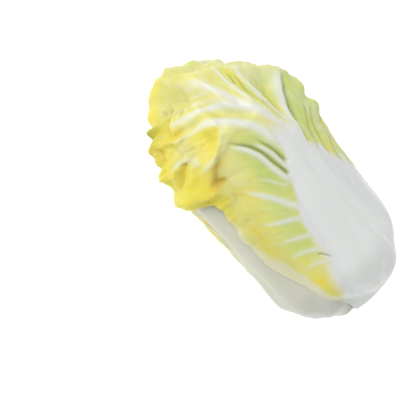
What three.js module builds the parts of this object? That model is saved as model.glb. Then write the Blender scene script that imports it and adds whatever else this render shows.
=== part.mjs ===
// A head of napa cabbage, lying on its side. Millimetres, +Z up.
// The head lies along X: its cut stem is at +X, its crown at -X, and it rests at Z = 0 on a leaf that its own
// weight flattens.
//
// The plant is a short stem cone, a tight heart, and leaves that spring from the cone in a spiral and wrap the
// heart one over the other. Every point is given on the sheath, a capsule round the head's axis: s runs from
// the stem cone over the barrel to the crown's pole and on past it, psi is the angle across a leaf from its
// midrib, and rho is the distance from the capsule's inner line. A leaf lies on the leaves beneath it, so its
// rho is the heart's radius plus the room that each of them takes there.

import * as THREE from "three";

const { sin, cos, tan, asin, atan2, hypot, abs, min, max, sign, PI } = Math;
const deg = PI / 180;

// The sheath.
const CONE_ANGLE = 30 * deg; // half angle of the stem cone
const LOW_CENTRE = 50; // from the cut face to the cone's apex, where the rounded base is centred
const BARREL = 162; // straight length between the base's centre and the crown's
const SHEATH_RADIUS = 70; // the radius at which s is a true length
const REST_HEIGHT = 68.5; // the axis above the surface the head lies on
const REST_BEARING = 160 * deg; // the side of the head that lies down
const HIGH_CENTRE = LOW_CENTRE + BARREL;
const CAP_ANGLE = PI / 2 - CONE_ANGLE;
const S_BARREL = SHEATH_RADIUS * CAP_ANGLE;
const S_CROWN = S_BARREL + BARREL;
const S_POLE = S_CROWN + (SHEATH_RADIUS * PI) / 2;

// The leaves' places.
const LEAVES = 18;
const SHOWN_LEAVES = 8; // the outermost ones, whose edges can be seen
const SPIRAL_STEP = -137.5 * deg; // the golden angle between one leaf and the next
const FRONT_BEARING = -27 * deg; // the outermost leaf's midrib

// A leaf's length along the sheath, from the outermost leaf inwards. The rest end round the crown.
const OUTER_TIPS = [376, 326, 290, 330, 350, 356, 280];
const INNER_TIP = 296;
const INNER_TIP_SPREAD = 34;
const INNERMOST_GROWTH = 0.45; // the innermost leaf's thickness as a share of the outermost one's

// A leaf's outline: its half width as an angle at its base, along the barrel and where it is widest, each with
// the spread between leaves, and the shares of its length between which it widens.
const BASE_ANGLE = 40 * deg;
const BASE_SPREAD = 6 * deg;
const MIDDLE_ANGLE = 58 * deg;
const MIDDLE_SPREAD = 8 * deg;
const WIDE_ANGLE = 66 * deg;
const WIDE_SPREAD = 7 * deg;
const FRONT_BASE = 52 * deg;
const FRONT_MIDDLE = 63 * deg;
const FRONT_WIDE = 74 * deg;
const WIDEST = 0.73;
const BASE_WIDENS = [0.07, 0.25];
const TOP_WIDENS = [0.5, WIDEST];
const COVER_START = 1.02; // the room under a leaf fades outside its edge, between these multiples of its width
const COVER_END = 1.48;

// The outermost leaf's left wing hangs over its neighbour round the crown, and its right one stands off.
const LOBE_TURN = 30 * deg;
const LOBE_ACROSS = [0.4, 1];
const LOBE_STARTS = [188, 216];
const LOBE_ENDS = [300, 350];
const LOBE_LIFT = 2; // off the neighbour
const SHOULDER_ACROSS = [0.45, 0.8];
const SHOULDER_STARTS = [150, 215];
const SHOULDER_ENDS = [235, 290];
const SHOULDER_LIFT = 8;

// A leaf's thickness and relief.
const BLADE = 1.0; // thickness of the thin green blade
const AIR = 3.6; // between a blade and the leaf above it
const CROWN_AIR = 0.4; // and over that where the leaves bend over the crown
const RIB_THICKNESS = 9; // of the white midrib where it leaves the stem, over the blade's own
const STOUT_RIB = 13; // the same of the third leaf, whose midrib shows beside the outermost leaf
const RIB_ANGLE = 40 * deg; // the midrib's half width there
const RIB_END = 1.5 * deg; // and at the tip
const RIB_NARROWS = 1.3; // powers of what is left of the leaf's length: how fast the midrib narrows
const RIB_THINS = 0.75; // and thins
const RIB_CROWN = 1.3; // how pointed its cross section is
const VEIN = 0.9; // height of the side veins
const WAVE = 2.2; // height of the edge's waves where a leaf lies over it
const FLARE = 8; // height of the edge's frill where nothing holds it down
const LEAST_FLARE = 0.6; // the other leaves' shares of it
const FLARE_SPREAD = 0.5;
const FRONT_FLARE = 8;
const FRONT_FLARE_ENDS = [240, 285]; // the outermost leaf lies smooth over the crown
const WAVE_LENGTH = 47; // of the edge's waves, along the sheath
const CROSS_WAVE = 31; // of the second, crossing set
const WAVE_SLANT = 19; // how far across a leaf the first set's phase turns by a radian
const CROSS_SLANT = 15;
const FIRST_SHARE = 0.65; // of the first set in the ripple
const WAVE_SPREAD = 0.4; // how much lower the innermost leaf's waves would be
const EDGE = [0.68, 1]; // the part of the half width that waves
const UPPER = [0.25, 0.75]; // the shares of the length between which the waves grow

// The mesh of a leaf: its rows follow the side veins, and every other row is one.
const FRONT_VEINS = 9;
const FRONT_COLUMNS = 16;
const SHOWN_VEINS = 7;
const SHOWN_COLUMNS = 14;
const INNER_ROWS = 12;
const INNER_COLUMNS = 12;
const WIDEST_ROW = 0.62; // the share of the rows below the leaf's widest place
const LAST_TURN = 68 * deg; // how far round the tip's arc the last row ends
const CLIMB = 1.2; // how the veins crowd towards the base
const BOW = 1.25; // how a row bows between the midrib and the edge
const BOW_RISE = 0.75; // and how much more it does at the tip
const BOW_POWER = 4;
const EDGE_CROWD = 0.25; // how much closer the columns stand at the edges
const END_CROWD = 0.35; // and an inner leaf's rows where it bends
const VEIN_STARTS = [0.2, 0.3]; // the row shares between which the side veins begin to stand out
const VEIN_FOOT = 0.15; // the share of the width in which one rises from the midrib

// The heart and stem.
const HEART_RADIUS = 24.5;
const HEART_TAPER = 12; // how much slimmer the heart is where it joins the stem
const TAPER_OVER = [-5, 35];
const HEART_BELLY = 3.5; // and how much wider at its middle
const HEART_CROWN = 14; // and at its crown
const CROWN_OVER = [S_CROWN + 70, S_POLE];
const BELLY_PLACE = (S_BARREL + S_CROWN) / 2;
const HEART_GAP = 1.6; // between the heart and the leaf on it
const HEART_FOLD = 2.4; // depth of the folds between the heart's own small leaves
const HEART_FOLDS = 5;
const FOLDS_START = 40; // the folds deepen over this length
const FOLD_RISE = 150; // the folds climb this far along the sheath in one turn over the number of folds
const HEART_ROWS = 16;
const HEART_SIDES = 26;
const STEM_GAP = 0.35; // between the stem cone and the leaves' roots
const STEM_STUB = 3; // how far the cut stem stands out past the base's centre plane
const STEM_CHAMFER = 1.5;
const STEM_SIDES = 24;

// The side that lies down is pressed level where it faces the surface this squarely.
const PRESS_RISE = -0.7;
const CLEAR_RISE = [-0.7, -0.4]; // and no edge frills below this
const PRESS_OVER = 0.05; // pressed a hair too far, then cut off level

const ramp = ([low, high], x) => {
  const t = min(1, max(0, (x - low) / (high - low)));
  return t * t * (3 - 2 * t);
};

// A fixed draw between 0 and 1 for leaf k, property n.
const draw = (k, n) => {
  const x = sin(k * 127.1 + n * 311.7 + 5.3) * 43758.5453;
  return x - Math.floor(x);
};

const leaves = Array.from({ length: LEAVES }, (_, k) => {
  const growth = 1 - ((1 - INNERMOST_GROWTH) * k) / (LEAVES - 1);
  const front = k === 0;
  const shown = k < SHOWN_LEAVES;
  return {
    name: "leaf_" + String(k + 1).padStart(2, "0"),
    rank: k,
    bearing: FRONT_BEARING + k * SPIRAL_STEP,
    tip: OUTER_TIPS[k] ?? INNER_TIP + INNER_TIP_SPREAD * draw(k, 1),
    base: front ? FRONT_BASE : BASE_ANGLE + BASE_SPREAD * draw(k, 2),
    middle: front ? FRONT_MIDDLE : MIDDLE_ANGLE + MIDDLE_SPREAD * draw(k, 3),
    wide: front ? FRONT_WIDE : WIDE_ANGLE + WIDE_SPREAD * draw(k, 4),
    hangs: front,
    rib: (k === 2 ? STOUT_RIB : RIB_THICKNESS) * growth,
    wave: WAVE * (1 - WAVE_SPREAD * (1 - growth)),
    flare: front ? FRONT_FLARE : shown ? FLARE * (LEAST_FLARE + FLARE_SPREAD * draw(k, 5)) : 0,
    phase: 2 * PI * draw(k, 6),
    shown,
    rows: front ? 2 * FRONT_VEINS + 3 : shown ? 2 * SHOWN_VEINS + 3 : INNER_ROWS,
    columns: front ? FRONT_COLUMNS : shown ? SHOWN_COLUMNS : INNER_COLUMNS,
  };
});

// The head lies on this leaf. The leaf under the front one's hanging wing has no frill of its own.
const FLOOR_LEAF = leaves[1];
leaves[2].flare = 0;

// --- The sheath ----------------------------------------------------------------------------------------------

// The place on the sheath at s, psi from a midrib at the given bearing: its point on the inner line, and its
// direction as the share along the axis and the shares towards bearings 0 and 90 degrees.
function place(bearing, s, psi) {
  let axial, along, fore, side;
  if (s < S_BARREL) {
    const beta = s / SHEATH_RADIUS - CAP_ANGLE;
    [axial, along, fore, side] = [LOW_CENTRE, sin(beta), cos(beta) * cos(psi), cos(beta) * sin(psi)];
  } else if (s < S_CROWN) {
    [axial, along, fore, side] = [LOW_CENTRE + s - S_BARREL, 0, cos(psi), sin(psi)];
  } else {
    const beta = (s - S_CROWN) / SHEATH_RADIUS;
    [axial, along, fore, side] = [HIGH_CENTRE, cos(psi) * sin(beta), cos(psi) * cos(beta), sin(psi)];
  }
  return {
    axial,
    along,
    x: fore * cos(bearing) - side * sin(bearing),
    y: fore * sin(bearing) + side * cos(bearing),
  };
}

// The same place as a leaf at another bearing sees it.
function seenFrom(at, bearing) {
  const fore = at.x * cos(bearing) + at.y * sin(bearing);
  const side = at.y * cos(bearing) - at.x * sin(bearing);
  if (at.axial < HIGH_CENTRE) {
    const s = at.along < 0 ? (asin(at.along) + CAP_ANGLE) * SHEATH_RADIUS : S_BARREL + at.axial - LOW_CENTRE;
    return { s, psi: atan2(side, fore) };
  }
  return { s: S_CROWN + SHEATH_RADIUS * atan2(at.along, fore), psi: asin(max(-1, min(1, side))) };
}

// How far along the sheath a place is, whatever the bearing.
function alongSheath(at) {
  if (at.axial < HIGH_CENTRE) return seenFrom(at, 0).s;
  return S_CROWN + SHEATH_RADIUS * asin(min(1, at.along));
}

// --- A leaf's outline and thickness, as functions of s and psi -----------------------------------------------

const widest = (leaf) => WIDEST * leaf.tip;

function halfAngle(leaf, s) {
  const share = s / leaf.tip;
  const low = leaf.base + (leaf.middle - leaf.base) * ramp(BASE_WIDENS, share);
  return low + (leaf.wide - leaf.middle) * ramp(TOP_WIDENS, share);
}

// 0 on the midrib, 1 on the leaf's edge, and more outside it.
function edgeShare(leaf, s, psi) {
  if (s <= widest(leaf)) return abs(psi) / halfAngle(leaf, s);
  return hypot(psi / leaf.wide, (s - widest(leaf)) / (leaf.tip - widest(leaf)));
}

// The midrib is a broad low crescent that narrows and thins towards the tip.
function ribHeight(leaf, s, psi) {
  const left = max(0, 1 - s / leaf.tip);
  const across = psi / (RIB_ANGLE * left ** RIB_NARROWS + RIB_END);
  return abs(across) < 1 ? leaf.rib * left ** RIB_THINS * (1 - across * across) ** RIB_CROWN : 0;
}

// Where a leaf waves: only near its edge, and more towards its tip.
const waviness = (leaf, s, q) => ramp(EDGE, q) * ramp(UPPER, s / leaf.tip);

// Between -1 and 1: the waves along a leaf's edge.
function ripple(leaf, s, psi) {
  const across = psi * SHEATH_RADIUS;
  const first = sin((2 * PI * s) / WAVE_LENGTH + across / WAVE_SLANT + leaf.phase);
  const second = sin((2 * PI * s) / CROSS_WAVE - across / CROSS_SLANT + 2 * leaf.phase);
  return FIRST_SHARE * first + (1 - FIRST_SHARE) * second;
}

// 1 over the whole leaf, fading to 0 outside its edge. On the crown it is 0 at a right angle to the midrib,
// where all the leaf's cross lines meet.
function cover(leaf, s, q) {
  const end = COVER_END + min(0, PI / 2 / leaf.wide - COVER_END) * ramp([S_CROWN - LOW_CENTRE, S_CROWN], s);
  return 1 - ramp([COVER_START, end], q);
}

// The room that a leaf takes from those outside it.
function room(leaf, at) {
  const { s, psi } = seenFrom(at, leaf.bearing);
  const q = edgeShare(leaf, s, psi);
  const air = AIR + CROWN_AIR * ramp([S_CROWN - LOW_CENTRE, S_CROWN], s);
  return cover(leaf, s, q) * (BLADE + air + VEIN + leaf.wave * waviness(leaf, s, q)) + ribHeight(leaf, s, psi);
}

// 1 where no leaf outside this one comes near, so that its edge is free to frill, and 0 beneath one.
function free(leaf, at) {
  return leaves.slice(0, leaf.rank).reduce((share, outer) => {
    const { s, psi } = seenFrom(at, outer.bearing);
    return share * (1 - cover(outer, s, edgeShare(outer, s, psi))) ** 2;
  }, 1);
}

// The heart's radius under the leaves.
function heartRadius(at) {
  const s = alongSheath(at);
  const taper = HEART_TAPER * (1 - ramp(TAPER_OVER, s));
  const belly = HEART_BELLY * ramp([S_BARREL, BELLY_PLACE], s) * (1 - ramp([BELLY_PLACE, S_CROWN], s));
  return HEART_RADIUS - taper + belly + HEART_CROWN * ramp(CROWN_OVER, s);
}

function layerRadius(leaf, at) {
  return leaves.slice(leaf.rank + 1).reduce((sum, inner) => sum + room(inner, at), heartRadius(at));
}

// --- From the sheath to the part's own frame -----------------------------------------------------------------

// Height above the axis of a unit step in this direction.
const rise = (at) => -at.x * cos(REST_BEARING) - at.y * sin(REST_BEARING);

// The head's weight flattens the side it lies on: there every layer is drawn in so that the outermost is level.
function press(at) {
  if (rise(at) > PRESS_RISE) return 1;
  const { s, psi } = seenFrom(at, FLOOR_LEAF.bearing);
  const skin = layerRadius(FLOOR_LEAF, at) + BLADE + ribHeight(FLOOR_LEAF, s, psi);
  return min(1, (REST_HEIGHT + PRESS_OVER) / (-rise(at) * skin));
}

function point(at, rho) {
  const pressed = rho * press(at);
  return new THREE.Vector3(
    -at.axial - pressed * at.along,
    pressed * (at.y * cos(REST_BEARING) - at.x * sin(REST_BEARING)),
    max(0, REST_HEIGHT + pressed * rise(at)),
  );
}

// --- Solids --------------------------------------------------------------------------------------------------

// A closed solid from a grid of outer points and a grid of inner points, each grid[row][column]. Both faces are
// split along the same diagonals.
function slab(outer, inner) {
  const rows = outer.length - 1;
  const columns = outer[0].length - 1;
  const points = [...inner.flat(), ...outer.flat()];
  const id = (face, i, j) => (face * (rows + 1) + i) * (columns + 1) + j;
  const faces = [];
  const quad = (a, b, c, d) => faces.push(a, b, c, a, c, d);
  for (let i = 0; i < rows; i++) {
    for (let j = 0; j < columns; j++) {
      const corners = [[i, j], [i, j + 1], [i + 1, j + 1], [i + 1, j]];
      const turned = (i + j) % 2 ? [...corners.slice(1), corners[0]] : corners;
      quad(...turned.map((corner) => id(0, ...corner)));
      const [a, b, c, d] = turned.map((corner) => id(1, ...corner));
      quad(a, d, c, b);
    }
  }
  for (let j = 0; j < columns; j++) {
    quad(id(0, 0, j), id(1, 0, j), id(1, 0, j + 1), id(0, 0, j + 1));
    quad(id(0, rows, j + 1), id(1, rows, j + 1), id(1, rows, j), id(0, rows, j));
  }
  for (let i = 0; i < rows; i++) {
    quad(id(0, i + 1, 0), id(1, i + 1, 0), id(1, i, 0), id(0, i, 0));
    quad(id(0, i, columns), id(1, i, columns), id(1, i + 1, columns), id(0, i + 1, columns));
  }
  return new THREE.BufferGeometry().setFromPoints(points).setIndex(faces);
}

// Where a row u meets a column v. Row u leaves the midrib at its foot and climbs to the leaf's edge, as a side
// vein does.
function leafPlace(leaf, u, v) {
  const turn = LAST_TURN * max(0, (u - WIDEST_ROW) / (1 - WIDEST_ROW));
  const edgeS = widest(leaf) * min(1, u / WIDEST_ROW) + (leaf.tip - widest(leaf)) * sin(turn);
  const edgePsi = turn > 0 ? leaf.wide * cos(turn) : halfAngle(leaf, edgeS);
  const footS = leaf.tip * u ** CLIMB;
  const out = abs(v);
  const bow = BOW + BOW_RISE * u ** BOW_POWER;
  return { s: footS + (edgeS - footS) * out ** bow, psi: sign(v) * edgePsi * out };
}

// The share of the way up the leaf of row i, with more rows where an inner leaf bends over the base and crown.
function rowShare(leaf, i) {
  const step = i / leaf.rows;
  return leaf.shown ? step : step - (END_CROWD * sin(2 * PI * step)) / (2 * PI);
}

// The share of the way across of column j, from -1 to 1, with more columns near the edges.
function columnShare(leaf, j) {
  const step = (2 * j) / leaf.columns - 1;
  return step * (1 + EDGE_CROWD - EDGE_CROWD * step * step);
}

// How much of a place belongs to the hanging wing, from 0 to 1.
function hanging(leaf, s, psi) {
  if (!leaf.hangs) return 0;
  return ramp(LOBE_ACROSS, psi / halfAngle(leaf, s)) * ramp(LOBE_STARTS, s) * (1 - ramp(LOBE_ENDS, s));
}

// How high the right wing stands off.
function shoulder(leaf, s, psi) {
  if (!leaf.hangs) return 0;
  const along = ramp(SHOULDER_STARTS, s) * (1 - ramp(SHOULDER_ENDS, s));
  return SHOULDER_LIFT * ramp(SHOULDER_ACROSS, -psi / halfAngle(leaf, s)) * along;
}

// How high the edge frills where it is free.
function frill(leaf, at, s) {
  const smooth = leaf.hangs ? 1 - ramp(FRONT_FLARE_ENDS, s) : 1;
  return leaf.flare * smooth * ramp(CLEAR_RISE, rise(at)) * free(leaf, at);
}

function makeLeaf(leaf) {
  const outer = [];
  const inner = [];
  for (let i = 0; i <= leaf.rows; i++) {
    outer.push([]);
    inner.push([]);
    for (let j = 0; j <= leaf.columns; j++) {
      const u = rowShare(leaf, i);
      const v = columnShare(leaf, j);
      const { s, psi } = leafPlace(leaf, u, v);
      const hung = hanging(leaf, s, psi);
      const at = place(leaf.bearing + LOBE_TURN * hung, s, psi);
      const wavy = waviness(leaf, s, edgeShare(leaf, s, psi));
      const swell = 0.5 + 0.5 * ripple(leaf, s, psi);
      const waves = (leaf.wave + frill(leaf, at, s)) * wavy * swell;
      const veined = VEIN * (i % 2) * ramp(VEIN_STARTS, u) * ramp([0, VEIN_FOOT], abs(v)) * (1 - abs(v));
      const low = layerRadius(leaf, at) + waves + LOBE_LIFT * hung + shoulder(leaf, s, psi);
      inner[i].push(point(at, low));
      outer[i].push(point(at, low + BLADE + ribHeight(leaf, s, psi) + veined));
    }
  }
  return slab(outer, inner);
}

// The heart is a bud of small leaves that have not parted: their folds wind up it and close over its crown.
function makeHeart() {
  const onHeart = (beta, turn) => ({
    axial: HIGH_CENTRE,
    along: sin(beta),
    x: cos(beta) * cos(turn),
    y: cos(beta) * sin(turn),
  });
  const points = [point(place(0, S_BARREL, 0), 0)];
  for (let i = 0; i < HEART_ROWS; i++) {
    for (let j = 0; j < HEART_SIDES; j++) {
      const s = (S_POLE * i) / HEART_ROWS;
      const turn = (2 * PI * j) / HEART_SIDES;
      const at = s < S_CROWN ? place(turn, s, 0) : onHeart((s - S_CROWN) / SHEATH_RADIUS, turn);
      const fold = sin(HEART_FOLDS * turn + (2 * PI * s) / FOLD_RISE);
      const depth = HEART_FOLD * (0.5 + 0.5 * fold) * ramp([0, FOLDS_START], s);
      points.push(point(at, heartRadius(at) - HEART_GAP - depth));
    }
  }
  const crown = onHeart(PI / 2, 0);
  points.push(point(crown, heartRadius(crown) - HEART_GAP));
  const top = points.length - 1;
  const id = (i, j) => 1 + i * HEART_SIDES + (j % HEART_SIDES);
  const faces = [];
  for (let j = 0; j < HEART_SIDES; j++) {
    faces.push(0, id(0, j), id(0, j + 1));
    faces.push(top, id(HEART_ROWS - 1, j + 1), id(HEART_ROWS - 1, j));
    for (let i = 0; i < HEART_ROWS - 1; i++) {
      faces.push(id(i, j), id(i + 1, j), id(i + 1, j + 1));
      faces.push(id(i, j), id(i + 1, j + 1), id(i, j + 1));
    }
  }
  return new THREE.BufferGeometry().setFromPoints(points).setIndex(faces);
}

// The stem: the cut stub and the cone that the leaves spring from.
function makeStem() {
  const cutRadius = LOW_CENTRE * tan(CONE_ANGLE) - STEM_GAP / cos(CONE_ANGLE);
  const apex = LOW_CENTRE - STEM_GAP / sin(CONE_ANGLE);
  const profile = [
    [0, -STEM_STUB],
    [cutRadius - STEM_CHAMFER, -STEM_STUB],
    [cutRadius, STEM_CHAMFER - STEM_STUB],
    [cutRadius, 0],
    [0, apex],
  ].map(([radius, axial]) => new THREE.Vector2(radius, axial));
  // The lathe's axis is Y: it is turned to point along -X, at the height of the head's axis.
  return new THREE.LatheGeometry(profile, STEM_SIDES).rotateZ(PI / 2).translate(0, 0, REST_HEIGHT);
}

// --- The head ------------------------------------------------------------------------------------------------

const finish = (color, roughness) => new THREE.MeshStandardMaterial({ color, roughness, metalness: 0 });
const outerLeaf = finish(0xdfe6b0, 0.45);
const innerLeaf = finish(0xece08c, 0.5);
const heartLeaf = finish(0xf0dc70, 0.5);
const cutStem = finish(0xe9ead8, 0.6);

const head = new THREE.Group();
function add(name, geometry, material) {
  const mesh = new THREE.Mesh(geometry, material);
  mesh.name = name;
  head.add(mesh);
}
add("stem", makeStem(), cutStem);
add("heart", makeHeart(), heartLeaf);
for (const leaf of leaves) add(leaf.name, makeLeaf(leaf), leaf.shown ? outerLeaf : innerLeaf);

// The origin is under the middle of the head, on the surface it lies on.
const middle = new THREE.Box3().setFromObject(head).getCenter(new THREE.Vector3());
head.position.set(-middle.x, -middle.y, 0);

export default head;
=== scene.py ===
"""A head of napa cabbage lying on its side: its looks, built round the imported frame.

The head's cut stem is at +X, its crown at -X, and it lies on z = 0. Shapes are worked out in millimetres on
the sheath, a capsule round the head's axis, and go into the meshes in metres.
"""

import logging
from collections.abc import Iterable
from dataclasses import dataclass, replace
from enum import Enum
from math import cos, pi, radians, sin, tan

import bpy
import numpy as np
from mathutils import Matrix, Vector


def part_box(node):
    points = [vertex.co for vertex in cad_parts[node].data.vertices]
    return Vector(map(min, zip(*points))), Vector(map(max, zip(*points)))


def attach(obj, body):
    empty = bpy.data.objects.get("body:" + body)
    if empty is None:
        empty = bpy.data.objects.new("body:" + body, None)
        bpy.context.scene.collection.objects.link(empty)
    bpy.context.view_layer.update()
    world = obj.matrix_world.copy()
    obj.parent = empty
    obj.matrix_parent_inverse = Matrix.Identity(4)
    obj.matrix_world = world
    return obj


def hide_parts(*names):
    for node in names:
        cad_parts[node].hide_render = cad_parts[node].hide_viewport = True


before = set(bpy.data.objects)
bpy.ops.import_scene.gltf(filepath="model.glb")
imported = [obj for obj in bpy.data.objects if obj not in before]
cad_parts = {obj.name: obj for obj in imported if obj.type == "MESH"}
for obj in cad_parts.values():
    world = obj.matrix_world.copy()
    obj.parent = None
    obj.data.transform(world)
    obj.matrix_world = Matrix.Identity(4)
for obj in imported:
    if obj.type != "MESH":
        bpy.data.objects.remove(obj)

Array = np.ndarray
log = logging.getLogger("napa_cabbage")

MM = 0.001
BODY = "root"
OLDER_RANK = 2
UV_UNIT = 100.0


# --- Plain functions of arrays ---


def ramp(start: float | Array, end: float | Array, x: Array) -> Array:
    """A smooth step: 0 at its start, 1 at its end, 3t^2 - 2t^3 between, and level beyond. A step that ends
    lower than it starts falls as x grows.

    Args:
        start: where the step is 0.
        end: where it is 1.
        x: the values to take it at.

    Returns:
        The step, between 0 and 1.
    """
    t = np.clip((x - start) / (end - start), 0.0, 1.0)
    return t * t * (3.0 - 2.0 * t)


def dome(x: Array, middle: float, reach: float) -> Array:
    """A bell: 1 at its middle and e^-1 a reach away."""
    return np.exp(-(((x - middle) / reach) ** 2))


def between(pair: tuple[float, float], share: Array) -> Array:
    """The value this share of the way from the pair's first to its second."""
    return pair[0] + (pair[1] - pair[0]) * share


def along(table: tuple[tuple[float, float], ...], s: Array) -> Array:
    """A table's value at s, in straight lines between its pairs of place and value."""
    return np.interp(s, *zip(*table))


def draw(rank: int, trait: int) -> float:
    """A fixed draw between 0 and 1 for a trait of the leaf of this rank."""
    x = sin(rank * 127.1 + trait * 311.7 + 5.3) * 43758.5453
    return x - np.floor(x)


@dataclass(frozen=True)
class Grain:
    """Seeded smooth noise and cells on a plane.

    Attributes:
        seed: which pattern.
        period: how many lattice squares before it repeats.
    """

    seed: int
    period: int = 64

    def table(self, layer: int) -> Array:
        """Random numbers between 0 and 1, one for each lattice point."""
        return np.random.default_rng(1000 * self.seed + layer).random((self.period, self.period))

    def noise(self, x: Array, y: Array) -> Array:
        """Gradient noise: each lattice point tilts the plane its own way, and the four tilts round a place
        are blended with the quintic fade.

        Args:
            x: places along the lattice's first direction, in squares.
            y: and along its second.

        Returns:
            Values between about -1 and 1.
        """
        turns = 2.0 * pi * self.table(0)
        i, j = np.floor(x).astype(int), np.floor(y).astype(int)
        total = np.zeros_like(x)
        for di in (0, 1):
            for dj in (0, 1):
                turn = turns[(i + di) % self.period, (j + dj) % self.period]
                dx, dy = x - i - di, y - j - dj
                ax, ay = 1.0 - np.abs(dx), 1.0 - np.abs(dy)
                fade = ax**3 * (ax * (ax * 6 - 15) + 10) * ay**3 * (ay * (ay * 6 - 15) + 10)
                total += fade * (np.cos(turn) * dx + np.sin(turn) * dy)
        return 1.5 * total

    def cells(self, x: Array, y: Array) -> tuple[Array, Array]:
        """Distances to the nearest and the second nearest of points strewn one to a lattice square.

        Args:
            x: places along the lattice's first direction, in squares.
            y: and along its second.

        Returns:
            The two distances, in squares.
        """
        across, along = self.table(1), self.table(2)
        i, j = np.floor(x).astype(int), np.floor(y).astype(int)
        first, second = np.full_like(x, 9.0), np.full_like(x, 9.0)
        for di in (-1, 0, 1):
            for dj in (-1, 0, 1):
                a, b = (i + di) % self.period, (j + dj) % self.period
                gap = np.hypot(i + di + across[a, b] - x, j + dj + along[a, b] - y)
                second = np.minimum(second, np.maximum(first, gap))
                first = np.minimum(first, gap)
        return first, second

    def domes(self, x: Array, y: Array) -> Array:
        """Domes over the strewn points: 1 at a point, and 0 where two are as near.

        Args:
            x: places along the lattice's first direction, in squares.
            y: and along its second.

        Returns:
            The domes' heights.
        """
        first, second = self.cells(x, y)
        return np.clip((second - first) / (second + first), 0, 1)


# --- The sheath ---


@dataclass(frozen=True)
class Place:
    """Places on the sheath: their points on the axis, and their directions as the share along the axis and
    the shares towards bearings 0 and 90 degrees."""

    axial: Array
    along: Array
    x: Array
    y: Array


@dataclass(frozen=True)
class Sheath:
    """The capsule that leaves are laid out on: a rounded base, a barrel and a domed crown.

    On it s runs in millimetres from the stem cone over the barrel and the crown, and psi is the angle
    across a leaf from its midrib.
    """

    cone_angle: float = radians(30)
    low_centre: float = 50.0
    barrel: float = 162.0
    radius: float = 70.0
    rest_height: float = 68.5
    rest_bearing: float = radians(160)

    @property
    def high_centre(self) -> float:
        """Where the crown is centred on the axis."""
        return self.low_centre + self.barrel

    @property
    def cap_angle(self) -> float:
        """How far the rounded base turns."""
        return pi / 2 - self.cone_angle

    @property
    def s_barrel(self) -> float:
        """Where the barrel starts."""
        return self.radius * self.cap_angle

    @property
    def s_crown(self) -> float:
        """Where the crown starts."""
        return self.s_barrel + self.barrel

    @property
    def s_pole(self) -> float:
        """The crown's pole."""
        return self.s_crown + self.radius * pi / 2

    def place(self, bearing: Array, s: Array, psi: Array) -> Place:
        """The places at s and psi from a midrib at a bearing.

        On the base a place turns about the low centre, on the barrel it runs straight, and on the crown lines
        of equal psi are great circles about the high centre.

        Args:
            bearing: the midrib's bearing.
            s: distance along the sheath.
            psi: angle from the midrib.

        Returns:
            The places.
        """
        low, high = s < self.s_barrel, s >= self.s_crown
        turned = np.where(high, (s - self.s_crown) / self.radius, 0.0)
        beta = np.where(low, s / self.radius - self.cap_angle, turned)
        on_barrel = np.where(low, self.low_centre, self.low_centre + s - self.s_barrel)
        axial = np.where(high, self.high_centre, on_barrel)
        along = np.where(high, np.cos(psi) * np.sin(beta), np.sin(beta))
        fore = np.cos(psi) * np.cos(beta)
        side = np.where(high, np.sin(psi), np.cos(beta) * np.sin(psi))
        return Place(
            axial,
            along,
            fore * np.cos(bearing) - side * np.sin(bearing),
            fore * np.sin(bearing) + side * np.cos(bearing),
        )

    def seen_from(self, at: Place, bearing: float) -> tuple[Array, Array]:
        """The s and psi of places as a leaf at another bearing has them.

        Args:
            at: the places.
            bearing: that leaf's bearing.

        Returns:
            s and psi.
        """
        fore = at.x * cos(bearing) + at.y * sin(bearing)
        side = at.y * cos(bearing) - at.x * sin(bearing)
        on_crown = at.axial >= self.high_centre
        on_base = (np.arcsin(np.clip(at.along, -1, 1)) + self.cap_angle) * self.radius
        below = np.where(at.along < 0, on_base, self.s_barrel + at.axial - self.low_centre)
        s = np.where(on_crown, self.s_crown + self.radius * np.arctan2(at.along, fore), below)
        psi = np.where(on_crown, np.arcsin(np.clip(side, -1, 1)), np.arctan2(side, fore))
        return s, psi

    def along(self, at: Place) -> Array:
        """How far along the sheath places are, whatever the bearing."""
        on_crown = self.s_crown + self.radius * np.arcsin(np.clip(at.along, -1, 1))
        return np.where(at.axial < self.high_centre, self.seen_from(at, 0.0)[0], on_crown)

    def rise(self, at: Place) -> Array:
        """Height above the axis of a unit step in these directions."""
        return -at.x * cos(self.rest_bearing) - at.y * sin(self.rest_bearing)

    def abreast(self, at: Place) -> Array:
        """How far a unit step in these directions goes along Y."""
        return at.y * cos(self.rest_bearing) - at.x * sin(self.rest_bearing)


SHEATH = Sheath()


# --- The leaves as the frame has them ---


class Layer(Enum):
    """How far out a leaf lies, which sets how fine it is made: its rows and columns."""

    FRONT = (256, 192)
    SHOWN = (190, 140)
    UNDER = (130, 100)
    INNER = (56, 44)

    @property
    def rows(self) -> int:
        """Rows from the leaf's root to its tip."""
        return self.value[0]

    @property
    def columns(self) -> int:
        """Columns from one edge to the other."""
        return self.value[1]


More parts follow.
